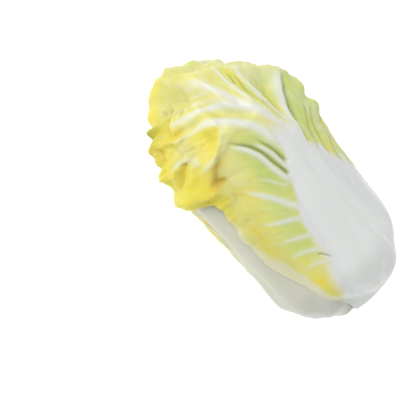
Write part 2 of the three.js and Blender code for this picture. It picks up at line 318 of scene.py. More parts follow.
@dataclass(frozen=True)
class Leaf:
    """One leaf's outline and thickness, as functions of s and psi. Lengths are in millimetres.

    Attributes:
        rank: its place from the outermost, 0, inwards.
        bearing: its midrib's bearing.
        tip: its length along the sheath.
        base: its half width at the base, as an angle.
        middle: the same along the barrel.
        wide: the same where it is widest.
        rib: its midrib's height at the root over the blade.
        wave: the height of its edge's waves under another leaf.
        flare: the height of its edge's frill where it is free.
        phase: where its waves start.
        layer: how far out it lies.
    """

    rank: int
    bearing: float
    tip: float
    base: float
    middle: float
    wide: float
    rib: float
    wave: float
    flare: float
    phase: float
    layer: Layer

    WIDEST = 0.73
    BASE_WIDENS = (0.07, 0.25)
    TOP_WIDENS = (0.5, 0.73)
    COVER = (1.02, 1.48)
    BLADE = 1.0
    AIR = 3.6
    CROWN_AIR = 0.4
    CROWN_SHARE = 50.0
    VEIN = 0.9
    RIB_ANGLE = radians(40)
    RIB_END = radians(1.5)
    RIB_NARROWS = 1.3
    RIB_THINS = 0.75
    RIB_ROUND = 1.3
    EDGE = (0.68, 1.0)
    UPPER = (0.25, 0.75)
    WAVES = (47.0, 31.0)

    @property
    def name(self) -> str:
        """The leaf's node in the frame."""
        return f"leaf_{self.rank + 1:02d}"

    @property
    def widest(self) -> float:
        """Where the leaf is widest."""
        return self.WIDEST * self.tip

    def half_angle(self, s: Array) -> Array:
        """Half the leaf's width as an angle: it widens over its base, and again towards its widest place."""
        low = between((self.base, self.middle), ramp(*self.BASE_WIDENS, s / self.tip))
        return low + (self.wide - self.middle) * ramp(*self.TOP_WIDENS, s / self.tip)

    def edge_share(self, s: Array, psi: Array) -> Array:
        """0 on the midrib, 1 on the edge and more outside it. The tip is half an ellipse."""
        tip = np.hypot(psi / self.wide, (s - self.widest) / (self.tip - self.widest))
        return np.where(s <= self.widest, np.abs(psi) / self.half_angle(s), tip)

    def left(self, s: Array) -> Array:
        """The share of the leaf that is left above each s."""
        return np.maximum(0.0, 1.0 - s / self.tip)

    def rib_angle(self, s: Array) -> Array:
        """Half the midrib's width as an angle: it narrows towards the tip."""
        return self.RIB_ANGLE * self.left(s) ** self.RIB_NARROWS + self.RIB_END

    def rib_across(self, s: Array, psi: Array) -> Array:
        """How far out of the midrib a place is: 0 at its middle and 1 at its flank."""
        return np.abs(psi) / self.rib_angle(s)

    def rib_height(self, s: Array, psi: Array) -> Array:
        """The midrib over the blade: a low crescent that thins towards the tip."""
        crescent = np.maximum(0.0, 1.0 - self.rib_across(s, psi) ** 2) ** self.RIB_ROUND
        return self.rib * self.left(s) ** self.RIB_THINS * crescent

    def crowned(self, s: Array) -> Array:
        """A step from 0 to 1 towards the crown."""
        return ramp(SHEATH.s_crown - self.CROWN_SHARE, SHEATH.s_crown, s)

    def waviness(self, s: Array, share: Array) -> Array:
        """Where the leaf waves: only near its edge, and more towards its tip."""
        return ramp(*self.EDGE, share) * ramp(*self.UPPER, s / self.tip)

    def ripple(self, s: Array, psi: Array) -> Array:
        """The waves along the edge: two crossing sets.

        Args:
            s: distance along the sheath.
            psi: angle from the midrib.

        Returns:
            Their height, between -1 and 1.
        """
        across = psi * SHEATH.radius
        first = np.sin(2 * pi * s / self.WAVES[0] + across / 19 + self.phase)
        second = np.sin(2 * pi * s / self.WAVES[1] - across / 15 + 2 * self.phase)
        return 0.65 * first + 0.35 * second

    def cover(self, s: Array, share: Array) -> Array:
        """How far the leaf covers a place: it fades outside its edge, and sooner on the crown.

        Args:
            s: distance along the sheath.
            share: the edge share.

        Returns:
            1 over the whole leaf, and 0 well outside it.
        """
        start, end = self.COVER
        last = end + min(0.0, pi / 2 / self.wide - end) * self.crowned(s)
        return ramp(last, start, share)

    def room(self, at: Place) -> Array:
        """The room the leaf takes from those outside it: its blade, the air over it, its waves and midrib.

        Args:
            at: places on the sheath.

        Returns:
            The room in millimetres.
        """
        s, psi = SHEATH.seen_from(at, self.bearing)
        share = self.edge_share(s, psi)
        air = self.AIR + self.CROWN_AIR * self.crowned(s)
        blade = self.BLADE + air + self.VEIN + self.wave * self.waviness(s, share)
        return self.cover(s, share) * blade + self.rib_height(s, psi)


@dataclass(frozen=True)
class Head:
    """The whole head: its leaves from the outermost inwards, its heart, and the side it lies on.

    Attributes:
        leaves: every leaf.
        offset: from the stem's cut plane on the axis to the frame's origin, in millimetres.
    """

    leaves: list[Leaf]
    offset: tuple[float, float]

    COUNT = 18
    SHOWN = 8
    STEP = radians(-137.5)
    SHRINKS = 0.55
    RIB = 9.0
    BROAD_RIB = 13.0
    WAVE = 2.2
    FLARE = 8.0
    FRONT_BEARING = radians(-27)
    OUTER_TIPS = (376.0, 326.0, 290.0, 330.0, 350.0, 356.0, 280.0)
    STUB = 3.0
    HEART_RADIUS = 24.5
    HEART_TAPER = 12.0
    HEART_BELLY = 3.5
    HEART_CROWN = 14.0
    HEART_SLIM = (35, -5)
    HEART_WIDENS = 70
    PRESS_RISE = -0.7
    CLEAR_RISE = (-0.7, -0.4)
    PRESS_OVER = 0.05

    @classmethod
    def from_frame(cls) -> "Head":
        """Makes the head, with its place read off the stem in the frame.

        Returns:
            The head.
        """
        low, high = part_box("stem")
        offset = (high.x / MM - cls.STUB, (low.y + high.y) / 2 / MM)
        return cls([cls.leaf(rank) for rank in range(cls.COUNT)], offset)

    @classmethod
    def leaf(cls, rank: int) -> Leaf:
        """The leaf of a rank, with the sizes that the frame's solids have.

        Args:
            rank: its place from the outermost, 0, inwards.

        Returns:
            The leaf.
        """
        growth = 1 - cls.SHRINKS * rank / (cls.COUNT - 1)
        front, shown, older = rank == 0, rank < cls.SHOWN, rank == OLDER_RANK
        frilled = 1.0 if front else 0.6 + 0.5 * draw(rank, 5) if shown and not older else 0.0
        layer = Layer.FRONT if front else Layer.SHOWN if rank < 4 else Layer.UNDER if shown else Layer.INNER
        return Leaf(
            rank=rank,
            bearing=cls.FRONT_BEARING + rank * cls.STEP,
            tip=cls.OUTER_TIPS[rank] if rank < len(cls.OUTER_TIPS) else 296 + 34 * draw(rank, 1),
            base=radians(52 if front else 40 + 6 * draw(rank, 2)),
            middle=radians(63 if front else 58 + 8 * draw(rank, 3)),
            wide=radians(74 if front else 66 + 7 * draw(rank, 4)),
            rib=(cls.BROAD_RIB if older else cls.RIB) * growth,
            wave=cls.WAVE * (0.6 + 0.4 * growth),
            flare=cls.FLARE * frilled,
            phase=2 * pi * draw(rank, 6),
            layer=layer,
        )

    def heart_radius(self, at: Place) -> Array:
        """The heart's radius under the leaves: slim at the stem, with a belly and a wide crown.

        Args:
            at: places on the sheath.

        Returns:
            The radius in millimetres.
        """
        s = SHEATH.along(at)
        widest = (SHEATH.s_barrel + SHEATH.s_crown) / 2
        belly = ramp(SHEATH.s_barrel, widest, s) * ramp(SHEATH.s_crown, widest, s)
        slim = self.HEART_TAPER * ramp(*self.HEART_SLIM, s)
        crown = self.HEART_CROWN * ramp(SHEATH.s_crown + self.HEART_WIDENS, SHEATH.s_pole, s)
        return self.HEART_RADIUS - slim + self.HEART_BELLY * belly + crown

    def under(self, leaf: Leaf, at: Place) -> Array:
        """The radius a leaf lies at: the heart's, and the room of each leaf inside it."""
        return self.heart_radius(at) + sum(inner.room(at) for inner in self.leaves[leaf.rank + 1 :])

    def free(self, leaf: Leaf, at: Place) -> Array:
        """How free a leaf is of those outside it.

        Args:
            leaf: the leaf.
            at: places on the sheath.

        Returns:
            1 where no outer leaf comes near, and 0 beneath one.
        """
        share = np.ones_like(at.x)
        for outer in self.leaves[: leaf.rank]:
            s, psi = SHEATH.seen_from(at, outer.bearing)
            share = share * (1 - outer.cover(s, outer.edge_share(s, psi))) ** 2
        return share

    def press(self, at: Place) -> Array:
        """How far the head's weight draws every layer in where it lies, so that the outermost is level there.

        Args:
            at: places on the sheath.

        Returns:
            What to multiply a radius by, 1 or less.
        """
        rise = SHEATH.rise(at)
        floor_leaf = self.leaves[1]
        s, psi = SHEATH.seen_from(at, floor_leaf.bearing)
        skin = self.under(floor_leaf, at) + Leaf.BLADE + floor_leaf.rib_height(s, psi)
        level = (SHEATH.rest_height + self.PRESS_OVER) / np.maximum(1e-6, -rise * skin)
        return np.where(rise > self.PRESS_RISE, 1.0, np.minimum(1.0, level))

    def world(self, at: Place, rho: Array, press: Array) -> Array:
        """Points in the frame, in metres.

        Args:
            at: places on the sheath.
            rho: their distances from the capsule's inner line, in millimetres.
            press: what press() gives there.

        Returns:
            An array of points, one more axis than rho.
        """
        pressed = rho * press
        x = self.offset[0] - at.axial - pressed * at.along
        y = self.offset[1] + pressed * SHEATH.abreast(at)
        z = np.maximum(0.0, SHEATH.rest_height + pressed * SHEATH.rise(at))
        return np.stack([x, y, z], axis=-1) * MM


# --- Meshes ---


def grid_quads(rows: int, columns: int, start: int = 0, wrap: bool = False) -> Array:
    """The quads of a grid of points numbered row by row.

    Args:
        rows: how many rows of points.
        columns: how many points in a row.
        start: the first point's number.
        wrap: whether the last column joins the first.

    Returns:
        An array of four point numbers a quad.
    """
    index = start + np.arange(rows * columns).reshape(rows, columns)
    if wrap:
        index = np.concatenate([index, index[:, :1]], axis=1)
    a, b, c, d = index[:-1, :-1], index[:-1, 1:], index[1:, 1:], index[1:, :-1]
    return np.stack([a, b, c, d], axis=-1).reshape(-1, 4)


def add_mesh(name: str, points: Array, quads: Array, uv: Array, marks: dict[str, Array]) -> bpy.types.Object:
    """A mesh object at the origin, with smooth shading, a UV map and point attributes.

    Args:
        name: the object's name.
        points: its points in metres, as an n by 3 array.
        quads: its faces as an m by 4 array; a triangle repeats its last point.
        uv: each point's place in the UV map, as an n by 2 array.
        marks: named point attributes, n values each.

    Returns:
        The object, linked to the scene.
    """
    quads = quads.astype(np.int64)
    triangle = quads[:, 2] == quads[:, 3]
    sizes = np.where(triangle, 3, 4)
    keep = np.ones(quads.shape, bool)
    keep[triangle, 3] = False
    corners = quads[keep]
    mesh = bpy.data.meshes.new(name)
    mesh.vertices.add(len(points))
    mesh.vertices.foreach_set("co", points.astype(np.float32).ravel())
    mesh.loops.add(len(corners))
    mesh.loops.foreach_set("vertex_index", corners.astype(np.int32))
    mesh.polygons.add(len(quads))
    mesh.polygons.foreach_set("loop_start", np.concatenate([[0], np.cumsum(sizes)[:-1]]).astype(np.int32))
    mesh.polygons.foreach_set("use_smooth", np.ones(len(quads), bool))
    mesh.update(calc_edges=True)
    mesh.validate()
    layer = mesh.uv_layers.new(name="leaf")
    layer.data.foreach_set("uv", uv[corners].astype(np.float32).ravel())
    for label, values in marks.items():
        mark = mesh.attributes.new(label, "FLOAT", "POINT")
        mark.data.foreach_set("value", values.astype(np.float32).ravel())
    piece = bpy.data.objects.new(name, mesh)
    bpy.context.scene.collection.objects.link(piece)
    return piece


def slab(name: str, inner: Array, outer: Array, uv: Array, marks: dict[str, Array]) -> bpy.types.Object:
    """A closed sheet between two grids of points, joined round their rims.

    Args:
        name: the object's name.
        inner: the inner face's points, rows by columns by 3.
        outer: the outer face's points.
        uv: places in the UV map, rows by columns by 2.
        marks: point attributes, rows by columns each, the same on both faces.

    Returns:
        The object.
    """
    rows, columns = inner.shape[:2]
    count = rows * columns
    index = np.arange(count).reshape(rows, columns)
    rim = np.concatenate([index[0, :-1], index[:-1, -1], index[-1, :0:-1], index[:0:-1, 0]])
    after = np.roll(rim, -1)
    sides = np.stack([rim, rim + count, after + count, after], axis=-1)
    quads = np.concatenate([grid_quads(rows, columns), grid_quads(rows, columns, count)[:, ::-1], sides])
    points = np.concatenate([inner.reshape(-1, 3), outer.reshape(-1, 3)])
    twice = {label: np.tile(values.ravel(), 2) for label, values in marks.items()}
    return add_mesh(name, points, quads, np.tile(uv.reshape(-1, 2), (2, 1)), twice)


# --- Leaves ---


@dataclass(frozen=True)
class Spots:
    """A leaf's grid of places, rows by columns.

    Attributes:
        u: how far up the leaf each row starts, 0 at the root and 1 at the tip.
        v: from -1 on the right edge to 1 on the left.
        s: distance along the sheath, in millimetres.
        psi: angle from the midrib.
    """

    u: Array
    v: Array
    s: Array
    psi: Array

    @property
    def arc(self) -> Array:
        """The angle from the midrib as a length on the sheath."""
        return self.psi * SHEATH.radius

    @property
    def turn(self) -> Array:
        """The angle from the midrib in degrees."""
        return np.degrees(self.psi)


@dataclass(frozen=True)
class Patch:
    """A soft-edged patch of a leaf. Each pair says where a step is 0 and where it is 1, so a falling pair
    ends the patch.

    Attributes:
        along: its steps along s.
        across: its steps across the leaf, in degrees or in whatever measure it is asked for.
        strength: what it comes to where it is full.
    """

    along: tuple[tuple[float, float], ...]
    across: tuple[tuple[float, float], ...]
    strength: float = 1.0

    def on(self, s: Array, across: Array) -> Array:
        """The patch's strength at each place: the product of its steps."""
        steps = [ramp(*pair, s) for pair in self.along] + [ramp(*pair, across) for pair in self.across]
        return self.strength * np.prod(steps, axis=0)


@dataclass(frozen=True)
class Stroke:
    """A vein, a ridge or a crease drawn on a leaf.

    Attributes:
        path: the places it runs through, each s in millimetres and psi in degrees.
        width: its half width at the start and at the end, in millimetres.
        height: how far it stands out there, below 0 for a crease.
        tint: how strongly it colours the leaf; -1 for as strongly as it is high, and fully for a crease.
        fade: the share of it after which it fades out.
        tinted_by: the share of it by which its colour is full.
    """

    path: tuple[tuple[float, float], ...]
    width: tuple[float, float]
    height: tuple[float, float]
    tint: float = -1.0
    fade: float = 0.72
    tinted_by: float = 0.0

    STEPS = 7
    FAINT = 0.05
    RISEN_BY = 0.12
    FAR = 1e9
    HAIR = 1e-6

    def line(self) -> Array:
        """The path as a smooth line: a Catmull-Rom curve, each piece a cubic through two places whose slope
        at each is half the way between its neighbours.

        Returns:
            Points of s and arc in millimetres.
        """
        marks = np.array(self.path, float) * (1.0, radians(1) * SHEATH.radius)
        ends = np.vstack([2 * marks[0] - marks[1], marks, 2 * marks[-1] - marks[-2]])
        a, b, c, d = (ends[i : len(ends) - 3 + i, None, :] for i in range(4))
        t = np.linspace(0, 1, self.STEPS, endpoint=False)[None, :, None]
        cubic = b + t * (c - a) / 2 + t**2 * (a - 2.5 * b + 2 * c - d / 2)
        cubic = cubic + t**3 * (1.5 * (b - c) + (d - a) / 2)
        return np.vstack([cubic.reshape(-1, 2), marks[-1]])

    def near(self, at: Spots) -> tuple[Array, Array]:
        """How places lie to the stroke: for each straight bit of the line, the foot of the perpendicular.

        Args:
            at: the places.

        Returns:
            The distance, and the share along the stroke of the nearest point.
        """
        line, arc = self.line(), at.arc
        narrow = np.where(at.s > SHEATH.s_crown, np.cos(at.psi), 1.0)
        best, share = np.full_like(at.s, self.FAR), np.zeros_like(at.s)
        for i in range(len(line) - 1):
            (s0, a0), (ds, da) = line[i], line[i + 1] - line[i]
            es, ea = (at.s - s0) * narrow, arc - a0
            t = np.clip((es * ds + ea * da) / (ds * ds + da * da), 0, 1)
            gap = np.hypot(es - t * ds, ea - t * da)
            closer = gap < best
            best = np.where(closer, gap, best)
            share = np.where(closer, (i + t) / (len(line) - 1), share)
        return best, share

    def bell(self, at: Spots) -> tuple[Array, Array]:
        """The stroke's colour, a bell across it, and its relief in millimetres.

        Args:
            at: the places.

        Returns:
            The colour's share and the relief.
        """
        gap, share = self.near(at)
        bell = dome(gap, 0, between(self.width, share)) * ramp(1.0, self.fade, share)
        relief = bell * between(self.height, share) * ramp(0, self.RISEN_BY, share)
        by_height = min(1.0, self.FAINT + self.height[0]) if self.height[0] > 0 else 1.0
        strength = self.tint if self.tint >= 0 else by_height
        return bell * strength * ramp(-self.HAIR, self.tinted_by, share), relief


def drawn(strokes: Iterable[Stroke], at: Spots) -> tuple[Array, Array]:
    """Strokes together: each place takes the strongest colour and the relief that departs most.

    Args:
        strokes: the strokes.
        at: the places.

    Returns:
        The colour's share and the relief.
    """
    colour, relief = np.zeros_like(at.s), np.zeros_like(at.s)
    for stroke in strokes:
        one, high = stroke.bell(at)
        colour = np.maximum(colour, one)
        relief = np.where(np.abs(high) > np.abs(relief), high, relief)
    return colour, relief


@dataclass
class Relief:
    """What a leaf's surface does at each place: lift and thick in millimetres off the blade, and the shares
    of white, green and rich yellow tissue, of painted shade in a darker orange for hollows and creases, and
    of painted shade in a dark olive."""

    lift: Array
    thick: Array
    white: Array
    green: Array
    rich: Array
    hollow_shade: Array
    shade: Array

    def marks(self) -> dict[str, Array]:
        """The shares, clipped, under the names that the finishes read."""
        names = ("white", "green", "rich", "hollow_shade", "shade")
        return {name: np.clip(getattr(self, name), 0, 1) for name in names}


@dataclass
class LeafPiece:
    """A leaf of the dressed head: the frame's leaf with veins, puckers, ruffles and a thin margin.

    Lengths are in millimetres. VEIN and BRANCH each hold a half width and a height: at the start, what a
    vein's size adds there, and at the end.
    """

    head: Head
    leaf: Leaf

    WIDEST_ROW = 0.62
    LAST_TURN = radians(68)
    CLIMB = 1.2
    CROWDS = 0.25
    BENDS_OUT = (1.25, 0.75)
    UNEVEN = 0.035
    UNEVEN_LENGTH = 13.0
    UNEVEN_FROM = (0.2, 0.5)
    CLOSE = 3.1
    CLOSE_EDGE = (0.55, 1.0)
    CLOSE_FROM = (4, 24)
    CLOSE_AT_ROOT = 0.15
    MARGIN_BLADE = 0.4
    THINS = (0.6, 1.0)
    PUCKER = 1.1
    PUCKER_CELL = 13.0
    PUCKER_BEND = 5.0
    PUCKER_ROUND = 0.7
    PUCKER_FROM = (0.2, 0.6)
    BETWEEN_PUCKERS = 0.35
    RUFFLE = 1.6
    RUFFLE_LENGTH = 14.0
    RUFFLE_DEEP = 40.0
    FINE_LENGTH = 6.0
    FINE_DEEP = 17.0
    COVERED = 0.35
    SMOOTHED = 0.3
    RUFFLE_EDGE = (0.72, 1)
    RUFFLE_FROM = (0.25, 0.5)
    VEIN_COUNT = 18
    INNER_VEIN_COUNT = 8
    VEIN_SEED = 40
    VEINS_FROM = 0.16
    VEINS_SPAN = 0.76
    VEINS_END = 0.92
    VEIN_STRAY = 0.4
    VEIN_CLIMB = (0.1, 1.6)
    VEIN_STEEPENS = (0.25, 0.6)
    AT_FLANK = 0.7
    TO_EDGE = 0.96
    EDGE_AHEAD = 20
    SHORTER_FROM = 0.6
    SHORTER_BY = 0.5
    SHORTEST = 0.25
    VEIN = ((1.6, 1.4, 1.1), (0.5, 0.8, 0.2))
    BRANCH = ((1.1, 0.5, 0.9), (0.25, 0.3, 0.1))
    VEIN_TURNS = (0.0, 0.22, 0.58, 1.0)
    VEIN_REACHES = (0.0, 0.3, 0.65, 1.0)
    FILLET = 0.5
    WHITE_ACROSS = (1.7, 0.8)
    WHITE_ROOT = (66, 24)
    ROOT_WHITE = 0.95
    VEIN_WHITE = 0.85
    DULLS = 0.14
    DULLS_BY = (40, 110)
    OFF_RIB = (0.7, 1.5)
    VEINS_LEAVE = (0.6, 1.2)
    ROOT = 60.8
    ROOT_END = 26.0
    FLUSH = 2.6
    FLUSH_END = 16.0
    SHORT = 0.3

    @property
    def grain(self) -> Grain:
        """The leaf's own pattern of noise."""
        return Grain(7 + self.leaf.rank)

    def noise(self, at: Spots, across: float, along: float, shift: float = 0.0) -> Array:
        """The leaf's noise with squares of these lengths in millimetres, another stretch for each shift."""
        return self.grain.noise(at.arc / across + shift, at.s / along)

    def outline(self) -> Spots:
        """The mesh's grid. A row leaves the midrib at its foot and climbs to the leaf's edge, as a side vein
        does, and the rows above the widest one end round the tip's ellipse.

        Returns:
            The places.
        """
        leaf, layer = self.leaf, self.leaf.layer
        step = np.linspace(-1, 1, layer.columns + 1)
        crowded = step * (1 + self.CROWDS - self.CROWDS * step * step)
        v, u = np.meshgrid(crowded, np.linspace(0, 1, layer.rows + 1))
        turn = self.LAST_TURN * np.maximum(0, (u - self.WIDEST_ROW) / (1 - self.WIDEST_ROW))
        edge_s = leaf.widest * np.minimum(1, u / self.WIDEST_ROW) + (leaf.tip - leaf.widest) * np.sin(turn)
        edge_psi = np.where(turn > 0, leaf.wide * np.cos(turn), leaf.half_angle(edge_s))
        ragged = self.grain.noise(edge_s / self.UNEVEN_LENGTH, np.sign(v) * 3.3) * ramp(*self.UNEVEN_FROM, u)
        foot = leaf.tip * u**self.CLIMB
        out = np.abs(v)
        least, more = self.BENDS_OUT
        s = foot + (edge_s - foot) * out ** (least + more * u**4)
        return Spots(u, v, s, np.sign(v) * edge_psi * out * (1 + self.UNEVEN * ragged * out))

    def strokes(self) -> list[Stroke]:
        """The side veins, alternately left and right, each with a branch. A vein leaves the midrib's flank
        and bends out to the edge, and the higher up it starts, the more it climbs.

        Returns:
            The veins and their branches.
        """
        leaf = self.leaf
        rng = np.random.default_rng(self.VEIN_SEED + leaf.rank)
        made = []
        count = self.INNER_VEIN_COUNT if leaf.layer is Layer.INNER else self.VEIN_COUNT
        for i in range(count):
            side = 1 if i % 2 else -1
            share = self.VEINS_FROM + self.VEINS_SPAN * (i + self.VEIN_STRAY * rng.uniform(-1, 1)) / count
            start = share * leaf.tip
            flank = self.AT_FLANK * np.degrees(leaf.rib_angle(start))
            edge = self.TO_EDGE * np.degrees(min(leaf.wide, leaf.half_angle(start + self.EDGE_AHEAD)))
            shorter = max(0.0, share - self.SHORTER_FROM) / self.SHORTER_BY
            reach = (edge - flank) * max(self.SHORTEST, 1 - shorter)
            steep = between(self.VEIN_CLIMB, ramp(*self.VEIN_STEEPENS, share))
            climb = min(steep * radians(reach) * SHEATH.radius, self.VEINS_END * leaf.tip - start)
            places = zip(self.VEIN_REACHES, self.VEIN_TURNS, rng.uniform(-2, 2, 4))
            path = [(start + climb * up + stray, side * (flank + reach * out)) for up, out, stray in places]
            size = (1 - share) ** 0.6 * rng.uniform(0.8, 1.15)
            made.append(self.sized(self.VEIN, path, size))
            way = rng.choice([-1, 1]) * rng.uniform(8, 14)
            fork = [path[1], (path[2][0] + 0.5 * way, path[2][1]), (path[3][0] + way, path[3][1])]
            made.append(self.sized(self.BRANCH, fork, size))
        return made

    @staticmethod
    def sized(kind: tuple[tuple[float, ...], ...], path: list[tuple[float, float]], size: float) -> Stroke:
        """A vein of a kind, VEIN or BRANCH, along a path, as wide and high as its size makes it."""
        (width, wider, last), (height, higher, low) = kind
        return Stroke(tuple(path), (width + wider * size, last), (height + higher * size, low))

    def puckers(self, at: Spots, off_rib: Array) -> tuple[Array, Array]:
        """The blade's blisters between its veins: domes over strewn cells, with slow noise.

        Args:
            at: the places.
            off_rib: 1 on the blade, 0 on the midrib.

        Returns:
            The relief in millimetres, and how far each place is down between the blisters, 0 to 1.
        """
        bend = self.PUCKER_BEND * self.noise(at, 31, 31)
        cell = self.PUCKER_CELL
        high = self.grain.domes((at.arc + bend) / cell, (at.s - bend) / (1.5 * cell)) ** self.PUCKER_ROUND
        where = off_rib * ramp(*self.PUCKER_FROM, at.s / self.leaf.tip)
        low = np.clip(self.BETWEEN_PUCKERS - high, 0, 1) / self.BETWEEN_PUCKERS
        return self.PUCKER * where * (high - 0.4 + 0.7 * self.noise(at, 10, 17, 40)), where * low

    def bearing(self, at: Spots) -> Array:
        """The midrib's bearing at each place."""
        return np.full_like(at.s, self.leaf.bearing)

    def middle(self, s: Array) -> Array:
        """The midrib's angle off the leaf's middle."""
        return np.zeros_like(s)

    def smooth(self, s: Array) -> Array:
        """The share of the frill that stays at each s."""
        return np.ones_like(s)

    def close(self, at: Spots) -> Array:
        """How far the margin is drawn down onto the leaf below, in millimetres."""
        return np.full_like(at.s, self.CLOSE)

    def waves(self, place: Place, at: Spots, share: Array) -> Array:
        """The edge's waves and frill as the frame has them, with finer ruffles on top.

        Args:
            place: the places on the sheath.
            at: the same places on the leaf.
            share: the edge share.

        Returns:
            Their height in millimetres.
        """
        leaf, s = self.leaf, at.s
        free = self.head.free(leaf, place) * ramp(*self.head.CLEAR_RISE, SHEATH.rise(place))
        swell = 0.5 + 0.5 * leaf.ripple(s, at.psi)
        ruffle = self.grain.noise(s / self.RUFFLE_LENGTH + 9, at.arc / self.RUFFLE_DEEP)
        fine = self.grain.noise(s / self.FINE_LENGTH + 3, at.arc / self.FINE_DEEP)
        where = ramp(*self.RUFFLE_EDGE, share) * ramp(*self.RUFFLE_FROM, s / leaf.tip)
        where = where * between((self.COVERED, 1), free) * between((self.SMOOTHED, 1), self.smooth(s))
        high = (leaf.wave + leaf.flare * free) * self.smooth(s)
        return high * leaf.waviness(s, share) * swell + self.RUFFLE * where * (ruffle + 0.5 * fine)

    def relief(self, at: Spots, share: Array) -> Relief:
        """The leaf's relief and tissue: white up its midrib, veins and root, and green towards its edge.

        Args:
            at: the places.
            share: the edge share.

        Returns:
            What the surface does at each place.
        """
        leaf, s = self.leaf, at.s
        across = leaf.rib_across(s, at.psi)
        veins, veined = drawn(self.strokes(), at)
        pucker, low = self.puckers(at, ramp(*self.OFF_RIB, across))
        tone = self.noise(at, 70, 70)
        root = self.ROOT_WHITE * ramp(*self.WHITE_ROOT, s + 12 * tone)
        white = np.maximum(np.maximum(root, ramp(*self.WHITE_ACROSS, across)), self.VEIN_WHITE * veins)
        return Relief(
            lift=pucker + self.FILLET * dome(across, 1.0, 0.3) * (1 - s / leaf.tip),
            thick=veined * ramp(*self.VEINS_LEAVE, across),
            white=white * (1 - self.DULLS * ramp(*self.DULLS_BY, s)),
            green=0.45 + 0.5 * tone + 0.4 * ramp(0.5, 1.0, share),
            rich=0.5 + 0.5 * self.noise(at, 45, 45, 7),
            # painted shade: the dips between blisters drawn a darker orange
            hollow_shade=0.6 * low,
            shade=np.zeros_like(s),
        )

    def build(self) -> bpy.types.Object:
        """Makes the leaf's mesh.

        The blade lies at the radius that the leaves inside it leave. To that come the waves, a margin drawn
        down onto the leaf below and the leaf's own relief, and on the outer face the blade's thickness, the
        midrib and the veins. The root widens to meet the cut stub, and stops just short of the cut.

        Returns:
            The leaf's object.
        """
        head, leaf = self.head, self.leaf
        at = self.outline()
        s = at.s
        place = SHEATH.place(self.bearing(at), s, at.psi)
        share = leaf.edge_share(s, at.psi)
        relief = self.relief(at, share)
        closed = self.CLOSE_AT_ROOT + (1 - self.CLOSE_AT_ROOT) * ramp(*self.CLOSE_FROM, s)
        close = self.close(at) * ramp(*self.CLOSE_EDGE, share) * closed
        low = head.under(leaf, place) + self.waves(place, at, share) + relief.lift - close
        blade = between((leaf.BLADE, self.MARGIN_BLADE), ramp(*self.THINS, share))
        skin = low + blade + leaf.rib_height(s, at.psi - self.middle(s)) + relief.thick
        skin = skin + head.free(leaf, place) * ramp(self.ROOT_END, 0, s) * np.maximum(0.0, self.ROOT - skin)
        press = head.press(place)
        root = replace(place, axial=place.axial - self.FLUSH * ramp(self.FLUSH_END, 0, s))
        inner, outer = (head.world(root, rho, press) for rho in (low, skin))
        for face in (inner, outer):
            face[..., 0] = np.minimum(face[..., 0], (head.offset[0] + head.STUB - self.SHORT) * MM)
        uv = np.stack([at.arc, s], axis=-1) / UV_UNIT
        return slab(f"{leaf.name}_fresh", inner, outer, uv, relief.marks())


